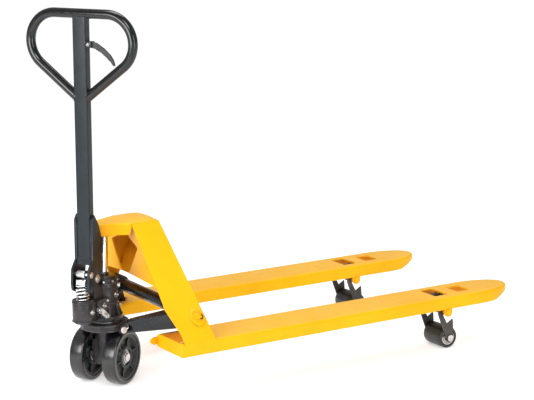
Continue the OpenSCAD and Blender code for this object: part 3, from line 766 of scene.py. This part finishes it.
def leg_sheet(side, name):
    """Bent leg plate: flush with the fork's side at its foot, leaning in to the head above that."""
    rear_edge = ((0.0, 0.065), (0.5, 0.073), (0.72, 0.073), (0.93, 0.097), (1.0, 0.097))
    top_front, foot_front = 0.163, 0.207
    thick = 0.0077

    def rear_x(share):
        for (s0, x0), (s1, x1) in zip(rear_edge, rear_edge[1:]):
            if share <= s1:
                return x0 + (x1 - x0) * (share - s0) / (s1 - s0)
        return rear_edge[-1][1]

    rows = []
    for share in (0.0, 0.1, 0.2, 0.3, 0.4, 0.5, 0.61, 0.72, 0.79, 0.86, 0.93, 1.0):
        z = SHOULDER_Z - LEG_DROP * share
        rows.append((rear_x(share), top_front + (foot_front - top_front) * share, leg_outside(0, z).y, z))
    rows.append((rear_x(1.0), foot_front, -FORK_MID - FORK_HALF, FORK_TOP - CORNER))
    bm = bmesh.new()
    rings = []
    for x0, x1, y, z in rows:
        corners = ((x0, y), (x1, y), (x1, y + thick), (x0, y + thick))
        rings.append([bm.verts.new((cx, -side * cy, z)) for cx, cy in corners])
    for low, high in zip(rings, rings[1:]):
        bridge(bm, low, high)
    bm.faces.new(rings[0])
    bm.faces.new(rings[-1])
    plate = ["leg_plate_" + name]
    finish_piece(bm, "leg_sheet_" + name, YELLOW, "chassis", bevel=0.0014, replaces=plate)


def leg_bosses():
    """Turned discs on the legs' outside, each with its groove and the pivot pin's end."""
    for s, name in ((1, "left"), (-1, "right")):
        bm = bmesh.new()
        at = leg_outside(ROCKER_PIVOT.x, ROCKER_PIVOT.z)
        out = Vector((0, -LEG_DROP, LEG_RUN)).normalized()
        centre, way = Vector((at.x, -s * at.y, at.z)), Vector((0, -s * out.y, out.z))
        add_lathe(bm, [
            (0, -0.004), (0.0262, -0.004), (0.0262, 0.0004), (0.0242, 0.0012), (0.0236, 0.0030),
            (0.0226, 0.0036),
            (0.0192, 0.0037), (0.0187, 0.0030), (0.0176, 0.0030), (0.0171, 0.0037), (0.0134, 0.0038),
            (0.0128, 0.0024), (0.0118, 0.0024), (0.0112, 0.0044), (0, 0.0048),
        ], centre, way, steps=72, closed=False)
        finish_piece(bm, "leg_boss_" + name, YELLOW, "chassis", sharp=40)
        # Open spring clip in the pin end's groove.
        bm = bmesh.new()
        up = way.cross(X).normalized() * (1 if way.cross(X).z > 0 else -1)
        clip = [
            centre + way * 0.0046 + X * (0.009 + 0.0085 * cos(a)) + up * (0.0085 * sin(a) - 0.003)
            for a in [radians(-110 + 160 * i / 24) for i in range(25)]
        ]
        add_sweep(bm, clip, 0.0017, 12)
        finish_piece(bm, "pivot_clip_" + name, ROCKER_BLACK, "chassis")


head_welds()
leg_bosses()
leg_sheet(1, "left")
leg_sheet(-1, "right")


# ---- steer wheels, replacing the CAD tyres, hubs and bearings ----


def add_bearing(bm, centre, axis, face, back, out, races, seal, dish):
    """One face of a bearing: chamfered races, each (inner, outer), and the dished seal between them."""
    back, out = face * back, face * out
    for r0, r1 in races:
        edge = out - face * 0.0008
        profile = [(r0, back), (r1, back), (r1, edge), (r1 - 0.0008, out), (r0 + 0.0008, out), (r0, edge)]
        add_lathe(bm, profile, centre, axis, steps=64)
    inner, trough, outer = seal
    rim, floor_of_dish = (out - face * depth for depth in dish)
    profile = [(inner, back), (outer, back), (outer, rim), (trough, floor_of_dish), (inner, rim)]
    add_lathe(bm, profile, centre, axis, steps=64)


def steer_wheel(name):
    centre = middle("steer_tyre_" + name)
    low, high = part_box("steer_tyre_" + name)
    radius = (high.z - low.z) / 2
    half = 0.024
    hub_r, bearing_r = 0.074, 0.026
    body = "steer_wheel_" + name
    bm = bmesh.new()
    shoulder = 0.007
    crown = 0.0007
    profile = [(hub_r, -half + 0.001), (hub_r + 0.002, -half + 0.0002), (radius - shoulder - 0.001, -half)]
    profile += [(r, h) for h, r in arc((-half + shoulder, radius - shoulder - crown), shoulder, 180, 90, 7)]
    profile += [(radius - crown * (h / half) ** 2, h) for h in (-0.012, -0.006, 0.0, 0.006, 0.012)]
    profile += [(r, h) for h, r in arc((half - shoulder, radius - shoulder - crown), shoulder, 90, 0, 7)]
    profile += [(radius - shoulder - 0.001, half), (hub_r + 0.002, half - 0.0002), (hub_r, half - 0.001)]
    add_lathe(bm, profile, centre, SIDEWAYS, steps=128)
    finish_piece(bm, "steer_tread_" + name, TYRE_BLACK, body, replaces=["steer_tyre_" + name])

    bm = bmesh.new()
    profile = [
        (bearing_r, -0.0200), (0.0335, -0.0205), (0.0360, -0.0190), (0.0380, -0.0115), (0.0400, -0.0095),
        (0.0580, -0.0095), (0.0610, -0.0120), (0.0635, -0.0195), (0.0655, -0.0212), (hub_r, -0.0212),
    ]
    profile += [(r, -h) for r, h in reversed(profile)]
    add_lathe(bm, profile, centre, SIDEWAYS, steps=96)
    ribs = 6
    turn = Z.rotation_difference(SIDEWAYS).to_matrix()
    for face in (-1, 1):
        for i in range(ribs):
            a = tau * i / ribs + 0.35
            out = turn @ Vector((cos(a), sin(a), 0))
            across = turn @ Vector((-sin(a), cos(a), 0))
            thick, deep, shallow = 0.0028, 0.0190, 0.0080
            outline = []
            rib = ((0.0350, deep - 0.001), (0.0480, 0.0150), (0.0645, deep))
            rib += ((0.0645, shallow), (0.0350, shallow))
            for r, h in rib:
                outline.append(centre + out * r + SIDEWAYS * face * h - across * thick)
            add_prism(bm, outline, across, 2 * thick)
        for ring_r in (0.0450, 0.0550):
            h = face * 0.0095
            add_lathe(bm, [
                (ring_r - 0.0016, h - face * 0.001), (ring_r - 0.0008, h + face * 0.0012),
                (ring_r + 0.0008, h + face * 0.0012), (ring_r + 0.0016, h - face * 0.001),
            ], centre, SIDEWAYS, steps=72)
    finish_piece(
        bm, "steer_rim_" + name, HUB_DARK, body, bevel=0.0006, replaces=["steer_hub_" + name]
    )

    bm = bmesh.new()
    for face in (-1, 1):
        races = ((0.0213, bearing_r), (0.01256, 0.0172))
        add_bearing(
            bm, centre, SIDEWAYS, face, 0.0040, 0.0150, races, (0.0174, 0.0192, 0.0211), (0.0014, 0.0020)
        )
    finish_piece(
        bm, "steer_race_" + name, STEEL, body, sharp=28, replaces=["steer_bearing_" + name]
    )


for wheel_name in ("left", "right"):
    steer_wheel(wheel_name)


# ---- load rollers, replacing the CAD rollers and bearings ----


def load_roller(name):
    centre = middle("load_roller_" + name)
    low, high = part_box("load_roller_" + name)
    radius, half = (high.z - low.z) / 2, (high.y - low.y) / 2
    body = "load_wheel_" + name
    bearing_r = 0.026
    chamfer = 0.006
    bm = bmesh.new()
    profile = [(bearing_r, -half + 0.003), (bearing_r + 0.002, -half + 0.0006), (radius - chamfer, -half)]
    profile += [(radius - chamfer * 0.35, -half + chamfer * 0.25), (radius, -half + chamfer)]
    profile += [(radius, h) for h in (-0.02, 0.0, 0.02)]
    profile += [(r, -h) for r, h in reversed(profile[:5])]
    add_lathe(bm, profile, centre, Y, steps=112)
    for h in (-0.030, 0.030):
        add_lathe(bm, [
            (radius - 0.002, h - 0.0007), (radius + 0.00001, h - 0.0004), (radius + 0.00001, h + 0.0004),
            (radius - 0.002, h + 0.0007),
        ], centre, Y, steps=112)
    finish_piece(bm, "load_tread_" + name, ROLLER_BLACK, body, replaces=["load_roller_" + name])
    bm = bmesh.new()
    for face in (-1, 1):
        races = ((0.0212, bearing_r), (0.01006, 0.0150))
        add_bearing(
            bm, centre, Y, face, half - 0.016, half - 0.002, races, (0.0152, 0.0181, 0.0210), (0.0016, 0.0024)
        )
    finish_piece(
        bm, "load_race_" + name, STEEL, body, sharp=28, replaces=["load_bearings_" + name]
    )


def load_truck_details(name):
    """The axle's end caps, each with the two ends of its split pin."""
    centre = middle("load_axle_" + name)
    bm = bmesh.new()
    reach = (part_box("load_axle_" + name)[1].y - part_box("load_axle_" + name)[0].y) / 2
    for s in (-1, 1):
        add_pin_end(bm, centre + Y * s * (reach - 0.0016), Y * s, 0.0116, 0.0024)
        for k in range(2):
            a = pi * k + 0.4
            way = Vector((cos(a), 0, sin(a)))
            add_sweep(bm, [centre + Y * s * (reach - 0.0005) + way * r for r in (0.0098, 0.0128)], 0.0013, 10)
    finish_piece(bm, "load_axle_caps_" + name, STEEL, "truck_" + name, sharp=30)


for truck_name in ("left", "right"):
    load_roller(truck_name)
    load_truck_details(truck_name)


# ---- rocker ----

def rocker_welds():
    """Ripple beads round the torque tube at the flared arms and the down-levers."""
    low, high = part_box("torque_tube")
    radius = (high.z - low.z) / 2
    bm = bmesh.new()
    for s in (-1, 1):
        for y, r in ((0.1972, 0.0026), (LEVER_Y - 0.0048, 0.0016)):
            ring = [
                ROCKER_PIVOT + Vector((cos(a) * radius, s * y, sin(a) * radius))
                for a in [tau * i / 72 for i in range(73)]
            ]
            add_weld(bm, ring, r)
    finish_piece(bm, "rocker_welds", ROCKER_BLACK, "rocker")


rocker_welds()


# ---- collar, pump and ram ----

def return_spring():
    """Helical coil between the barrel and the cap, with closed ends."""
    low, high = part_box("return_spring")
    centre = (low + high) / 2
    wire = 0.0056
    r = (high.x - low.x) / 2 - wire / 2
    bottom, top = low.z + wire / 2, high.z - wire / 2
    coils, closed = 6.5, 0.8
    steps_per_coil = 40
    path = []
    count = int(coils * steps_per_coil)
    for i in range(count + 1):
        turn = coils * i / count
        open_share = min(max((turn - closed) / (coils - 2 * closed), 0.0), 1.0)
        ease = open_share * 0.86 + 0.14 * turn / coils
        a = tau * turn
        path.append((centre.x + r * cos(a), centre.y + r * sin(a), bottom + (top - bottom) * ease))
    bm = bmesh.new()
    add_sweep(bm, path, wire / 2, 14)
    spring = finish_piece(bm, "coil_spring", CHROME, "pump_unit", replaces=["return_spring"])
    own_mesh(spring)


return_spring()


def steered_point(x, y, z):
    """A point given in the pump unit's own straight frame."""
    return STEERED @ Vector((x, y, z))


def pump_details():
    """Cast ribs, cover plate, screws, plugs and fittings of the pump unit."""
    bm = bmesh.new()
    for s in (-1, 1):
        # Ribs from the cylinder down to the foot flange.
        for a in (50, 90, 130):
            angle = radians(a * s)
            out = Vector((cos(angle), sin(angle), 0))
            across = Vector((-out.y, out.x, 0))
            rib = ((0.040, 0.2235), (0.056, 0.2235), (0.0545, 0.2300), (0.0435, 0.2620), (0.040, 0.2620))
            outline = [out * r + Z * z - across * 0.003 for r, z in rib]
            add_prism(bm, outline, across, 0.006)
        # Side covers of the valve gallery.
        cover = []
        corners = ((-0.034, 0.280), (-0.088, 0.280), (-0.088, 0.250), (-0.034, 0.250))
        for i, corner in enumerate(corners):
            cover += arc(corner, 0.009, 90 * i, 90 * i + 90, 5)
        side_y = s * 0.027
        add_prism(bm, [(x, side_y, z) for x, z in cover], Y * s, 0.0065)
    # Raised bands round the cylinder and the barrel.
    barrel_x = -0.130
    cylinder_band = (0, 0.0425, 0.0452, 0.0458, 0.002, 96)
    barrel_band = (barrel_x, 0.0322, 0.0345, 0.0350, 0.0018, 80)
    heights = ((0.2665, cylinder_band), (0.3120, cylinder_band), (0.2335, barrel_band), (0.2940, barrel_band))
    for z, (x, root, side, top, slope, steps) in heights:
        profile = [(root, z - 0.003), (side, z - slope), (top, z), (side, z + slope), (root, z + 0.003)]
        add_lathe(bm, profile, (x, 0, 0), Z, steps=steps)
    finish_piece(bm, "pump_castings", CASTING, "pump_unit", turn=STEERED, bevel=0.0012)

    bm = bmesh.new()
    for s in (-1, 1):
        for x, z in ((-0.036, 0.278), (-0.086, 0.252)):
            add_hex(bm, (x, s * 0.0333, z), Y * s, 0.007, 0.004)
    # Screws round the foot flange, and the gland's grub screws.
    for i in range(4):
        a = tau * (i + 0.5) / 4
        add_hex(bm, (0.0505 * cos(a), 0.0505 * sin(a), 0.2243), Z, 0.008, 0.0045)
    for a in (-60, -20, 20, 60):
        angle = radians(a - 90)
        out = Vector((cos(angle), sin(angle), 0))
        add_pin_end(bm, out * 0.0425 + Z * 0.336, out, 0.0035, 0.0022)
    finish_piece(bm, "pump_screws", ZINC, "pump_unit", turn=STEERED, sharp=28)

    bm = bmesh.new()
    # Relief valve with its lock nut, a bleed plug and a grease nipple.
    add_hex(bm, (-0.060, -0.0338, 0.2665), -Y, 0.009, 0.006)
    add_pin_end(bm, (-0.060, -0.0394, 0.2665), -Y, 0.0028, 0.0032)
    add_hex(bm, (0.0, -0.0430, 0.2900), -Y, 0.012, 0.007)
    add_lathe(bm, [
        (0, -0.002), (0.0045, -0.002), (0.0045, 0.004), (0.0028, 0.0055), (0.0028, 0.0085), (0.0034, 0.0100),
        (0.0022, 0.0125), (0, 0.0130),
    ], (0.0300, -0.0318, 0.2480), Vector((0.7, -0.7, 0.15)), steps=24, closed=False)
    add_hex(bm, (barrel_x, -0.0325, 0.2620), -Y, 0.011, 0.006)
    finish_piece(bm, "pump_fittings", STEEL, "pump_unit", turn=STEERED, sharp=28)


pump_details()


def collar_details():
    """Lips of the swivel collar and the trunnions' chamfered ends."""
    bm = bmesh.new()
    r = 0.076
    for z in (0.1835, 0.1985):
        add_lathe(bm, [
            (r - 0.001, z - 0.0022), (r + 0.0012, z - 0.001),
            (r + 0.0012, z + 0.001), (r - 0.001, z + 0.0022),
        ], (0, 0, 0), Z, steps=128)
    finish_piece(bm, "collar_lips", CASTING, "carriage", sharp=30)
    bm = bmesh.new()
    low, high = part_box("collar_trunnions")
    x, z = (low.x + high.x) / 2, (low.z + high.z) / 2
    for s in (-1, 1):
        add_pin_end(bm, (x, s * (high.y - 0.0016), z), Y * s, 0.0106, 0.0026)
    finish_piece(bm, "collar_pins", ZINC, "carriage", sharp=28)


collar_details()


def axle_details():
    """Nuts at the steer axle's ends, and the spacer rings inside the wheels."""
    centre = middle("steer_axle")
    bm = bmesh.new()
    seat = 0.0775
    for s in (-1, 1):
        way = SIDEWAYS * s
        add_hex(bm, centre + way * (seat - 0.0005), way, 0.026, 0.0068, 1.18)
    for s in (-1, 1):
        way = SIDEWAYS * s
        add_lathe(bm, [
            (0.0135, 0.0), (0.0200, 0.0), (0.0200, 0.0030), (0.0185, 0.0040), (0.0135, 0.0040),
        ], centre + way * 0.0300, way, steps=48)
    finish_piece(bm, "axle_washers", ZINC, "pump_unit", sharp=28)


axle_details()


# ---- handle ----

HANDLE_BACK = -0.103
TUBE_HALF_X, TUBE_HALF_Y = 0.014, 0.023
LOOP_R = 0.015
LOOP_STRAIGHT, LOOP_BEND, LOOP_SLOPE = 0.0915, 0.087, 38
HANDLE_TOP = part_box("handle_loop")[1].z
TUBE_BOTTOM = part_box("handle_tube")[0].z
LEVER_PIVOT = (-0.031, 1.091)
LOOP_Z = HANDLE_TOP - LOOP_R


def round_box(half_x, half_y, corner):
    """Outline of a rounded rectangle."""
    points = []
    for sx, sy, start in ((1, 1, 0), (-1, 1, 90), (-1, -1, 180), (1, -1, 270)):
        points += arc((sx * (half_x - corner), sy * (half_y - corner)), corner, start, start + 90, 6)
    return points


def handle_tube():
    """Rounded rectangular tube with an open lower end, and a lip outlining the control lever's slot, which is
    not cut.
    """
    bm = bmesh.new()
    wall, corner = 0.003, 0.0038
    top = LOOP_Z - LOOP_R * 0.55
    outer = round_box(TUBE_HALF_X, TUBE_HALF_Y, corner)
    inner = round_box(TUBE_HALF_X - wall, TUBE_HALF_Y - wall, corner - wall)

    def ring(outline, z):
        return [bm.verts.new((HANDLE_BACK + x, y, z)) for x, y in outline]

    levels = [TUBE_BOTTOM + (top - TUBE_BOTTOM) * i / 12 for i in range(13)]
    rings = [ring(outer, z) for z in levels]
    rings += [ring(inner, z) for z in (top - wall, TUBE_BOTTOM)]
    for low, high in zip(rings, rings[1:]):
        if low is not rings[len(levels) - 1]:
            bridge(bm, low, high)
    bm.faces.new(rings[len(levels) - 1])
    bm.faces.new(rings[len(levels)])
    bridge(bm, rings[-1], rings[0])
    # Dark lip round the lever's slot.
    y, z = -TUBE_HALF_Y, LEVER_PIVOT[1]
    slot_path = [
        (HANDLE_BACK + sx * 0.0078, y - 0.0002, z + dz)
        for sx, dz in ((-1, -0.018), (1, -0.018), (1, 0.018), (-1, 0.018), (-1, -0.018))
    ]
    add_sweep(bm, [p for a, b in zip(slot_path, slot_path[1:]) for p in (a, b)], 0.0011, 10)
    finish_piece(
        bm, "handle_column", CHARCOAL, "handle", turn=STEERED, sharp=40,
        replaces=["handle_tube"],
    )


def loop_path():
    """Centre line of the loop, from the tube's near side round to its far side."""
    bend_z = LOOP_Z - LOOP_BEND
    bend = arc((LOOP_STRAIGHT, bend_z), LOOP_BEND, 90, -(90 - LOOP_SLOPE), 40)
    end_y, end_z = bend[-1]
    slope = radians(LOOP_SLOPE)
    run = (end_y - TUBE_HALF_Y + 0.004) / cos(slope)
    reaches = [run * k / 12 for k in range(1, 13)]
    brace = [(end_y - reach * cos(slope), end_z - reach * sin(slope)) for reach in reaches]
    half = bend + brace
    across = [(-LOOP_STRAIGHT + 2 * LOOP_STRAIGHT * k / 16, LOOP_Z) for k in range(1, 16)]
    return [(-y, z) for y, z in reversed(half)] + across + half


def handle_loop():
    bm = bmesh.new()
    path = loop_path()
    add_sweep(bm, [(HANDLE_BACK, y, z) for y, z in path], LOOP_R, 32)
    finish_piece(
        bm, "handle_grip_loop", LOOP_BLACK, "handle", turn=STEERED, replaces=["handle_loop"]
    )

    bm = bmesh.new()
    slope = radians(LOOP_SLOPE)
    end_z = path[-1][1]
    for s in (-1, 1):
        # The brace meets the tube's side along a slanted ellipse.
        centre_z = end_z + 0.004 * tan(slope)
        bead = []
        for i in range(49):
            a = tau * i / 48
            dx = LOOP_R * cos(a)
            dz = LOOP_R * sin(a) / cos(slope)
            over = max(0.0, abs(dx) - (TUBE_HALF_X - 0.0035))
            bead.append((HANDLE_BACK + dx, s * (TUBE_HALF_Y + 0.0003 - over * 0.4), centre_z + dz))
        add_weld(bm, bead, 0.0019)
        saddle = []
        for i in range(25):
            x = -TUBE_HALF_X + 2 * TUBE_HALF_X * i / 24
            z = LOOP_Z - sqrt(max(LOOP_R ** 2 - x * x, 0.0))
            saddle.append((HANDLE_BACK + x, s * TUBE_HALF_Y, z - 0.0004))
        add_weld(bm, saddle, 0.0018)
    finish_piece(bm, "handle_welds", LOOP_BLACK, "handle", turn=STEERED)


def control_lever():
    """Squeeze lever with finger serrations below and a hooked tip."""
    bm = bmesh.new()
    py, pz = LEVER_PIVOT
    upper = [(0.004, 0.0085), (-0.022, 0.0055), (-0.048, -0.0105), (-0.070, -0.0300)]
    upper += [(-0.080, -0.0455), (-0.0845, -0.0600)]
    tip = [(-0.0825, -0.0622), (-0.0795, -0.0605)]
    lower = [(-0.0700, -0.0475), (-0.0580, -0.0365), (-0.0400, -0.0225), (-0.0200, -0.0125)]
    teeth = []
    for (y0, z0), (y1, z1) in zip(lower[:-1], lower[1:]):
        for k in range(3):
            for share, depth in ((0.0, 0.0), (0.5, -0.0022)):
                t = (k + share) / 3
                teeth.append((y0 + (y1 - y0) * t, z0 + (z1 - z0) * t + depth))
    outline = upper + tip + teeth + [lower[-1], (0.002, -0.0085)]
    thick = 0.0088
    add_prism(bm, [(HANDLE_BACK - thick / 2, py + y, pz + z) for y, z in outline], X, thick)
    hub = [(0.0037, -0.0050), (0.0090, -0.0050), (0.0095, -0.0044)]
    hub += [(r, -h) for r, h in reversed(hub)]
    add_lathe(bm, hub, (HANDLE_BACK, py, pz), X, steps=40)
    inner = [(0.0, -0.0048), (0.024, -0.0048), (0.0262, -0.0025)]
    inner += [(y, -z) for y, z in reversed(inner)]
    add_prism(bm, [(HANDLE_BACK - 0.0038, py + y, pz + z) for y, z in inner], X, 0.0076)
    finish_piece(
        bm, "squeeze_lever", LEVER_GREY, "hand_lever", turn=STEERED, bevel=0.0012,
        replaces=["control_lever"],
    )


def handle_details():
    """Yoke welds, the pins' washers and the lever pin's heads."""
    hinge = Vector((-0.095, 0, 0.363))
    roller = Vector((-0.130, 0, 0.381))
    yoke_out = 0.033
    bm = bmesh.new()
    for s in (-1, 1):
        for at, r in ((hinge, 0.0115), (roller, 0.0092)):
            add_lathe(bm, [
                (r * 0.5, 0.0), (r + 0.001, 0.0), (r + 0.001, 0.0012), (r, 0.0018), (r * 0.5, 0.0018),
            ], (at.x, s * (yoke_out + 0.0001), at.z), Y * s, steps=40)
        for x in (-0.0145, 0.0145):
            head = (HANDLE_BACK + x * 0.93, *LEVER_PIVOT)
            add_pin_end(bm, head, X * copysign(1, x), 0.0052, 0.0022)
    finish_piece(bm, "handle_washers", ZINC, "handle", turn=STEERED, sharp=28)
    bm = bmesh.new()
    for s in (-1, 1):
        plate_y = s * (TUBE_HALF_Y + 0.0012)
        add_weld(bm, [(HANDLE_BACK + x, plate_y + s * 0.0008, 0.5382) for x in (-0.011, 0.0, 0.011)], 0.0018)
        for x in (-0.0133, 0.0133):
            side = [(HANDLE_BACK + x, s * 0.0243, z) for z in (0.432, 0.47, 0.51, 0.535)]
            add_weld(bm, side, 0.0016)
    finish_piece(bm, "yoke_welds", CHARCOAL, "handle", turn=STEERED)


handle_tube()
handle_loop()
control_lever()
handle_details()


# ---- the CAD nodes that show as they are ----

for node_material, edge_width, node_names in (
    (YELLOW, 0.001, ("leg_gusset_left", "leg_gusset_right", "apron_plate", "ram_seat")),
    (YELLOW, 0.0008, ("rocker_pivot_pins", "load_pivot_shafts")),
    (CHROME, 0.0006, ("ram",)),
    (TRUCK_GREY, 0.001, ("load_frame_left", "load_frame_right")),
    (STEEL, 0.0006, ("load_axle_left", "load_axle_right")),
    (ROCKER_BLACK, 0.001, ("push_rod_left", "push_rod_right")),
    (ROCKER_BLACK, 0.0012, ("rocker_arm_left", "rocker_arm_right", "torque_tube", "down_levers")),
    (ZINC, 0.0006, ("lever_pins", "axle_nuts", "release_valve", "filler_plug", "release_arm")),
    (ZINC, 0.0006, ("control_rod", "yoke_roller")),
    (CASTING, 0.0016, ("swivel_collar", "pump_housing", "cylinder_gland", "pump_barrel")),
    (ZINC, 0.0008, ("collar_trunnions", "thrust_bearing", "steer_axle", "handle_hinge_pin", "roller_axle")),
    (CHROME, 0.001, ("pump_piston",)),
    (CHARCOAL, 0.0014, ("handle_yoke",)),
    (CHARCOAL, 0.001, ("control_bracket",)),
):
    for node_name in node_names:
        dress_node(node_name, node_material, edge_width)


# ---- studio ----


def floor():
    mesh = bpy.data.meshes.new("floor")
    reach = 40.0
    corners = [(reach * x, reach * y, 0) for x, y in ((-1, -1), (1, -1), (1, 1), (-1, 1))]
    mesh.from_pydata(corners, [], [(0, 1, 2, 3)])
    obj = bpy.data.objects.new("floor", mesh)
    obj.location.z = -0.0005
    scene.collection.objects.link(obj)
    mesh.materials.append(pale_floor())


def softbox(name, place, target, size, power):
    light = bpy.data.lights.new(name, "AREA")
    light.shape = "RECTANGLE"
    light.size, light.size_y = size
    light.energy = power
    obj = bpy.data.objects.new(name, light)
    obj.location = place
    obj.rotation_euler = (Vector(target) - Vector(place)).to_track_quat("-Z", "Y").to_euler()
    scene.collection.objects.link(obj)


def studio():
    world = bpy.data.worlds.new("studio")
    world.use_nodes = True
    background = world.node_tree.nodes["Background"]
    background.inputs["Color"].default_value = (1, 1, 1, 1)
    background.inputs["Strength"].default_value = 0.5
    scene.world = world
    scene.view_settings.view_transform = "Standard"
    sun = bpy.data.lights.new("sun", "SUN")
    sun.energy = 0.95
    sun.angle = radians(22)
    sun_place = bpy.data.objects.new("sun", sun)
    sun_place.rotation_euler = Vector((0.6, 1.2, -1.15)).to_track_quat("-Z", "Y").to_euler()
    scene.collection.objects.link(sun_place)
    softbox("left", (-2.6, -1.0, 1.3), (0, 0, 0.15), (1.7, 1.3), 58)
    softbox("front", (0.5, -4.4, 1.3), (0.1, 0, 0.6), (0.7, 2.4), 42)
    softbox("top", (0.4, 0.5, 3.6), (0.5, 0, 0.2), (2.6, 1.2), 50)


def camera():
    """The photograph's viewpoint: a long lens, a little above the object, from its rear right."""
    data = bpy.data.cameras.new("camera")
    data.sensor_width = 36
    data.lens = 116.4
    yaw, pitch, roll = radians(57.17), radians(11.66), radians(-0.10)
    obj = bpy.data.objects.new("camera", data)
    ahead = Vector((cos(yaw) * cos(pitch), sin(yaw) * cos(pitch), -sin(pitch)))
    right = Vector((sin(yaw), -cos(yaw), 0))
    up = right.cross(ahead)
    rolled_right = right * cos(roll) + up * sin(roll)
    rolled_up = up * cos(roll) - right * sin(roll)
    turn = Matrix((rolled_right, rolled_up, -ahead)).transposed()
    obj.matrix_world = Matrix.Translation((-2.436, -4.728, 1.682)) @ turn.to_4x4()
    scene.collection.objects.link(obj)
    scene.camera = obj


floor()
studio()
camera()
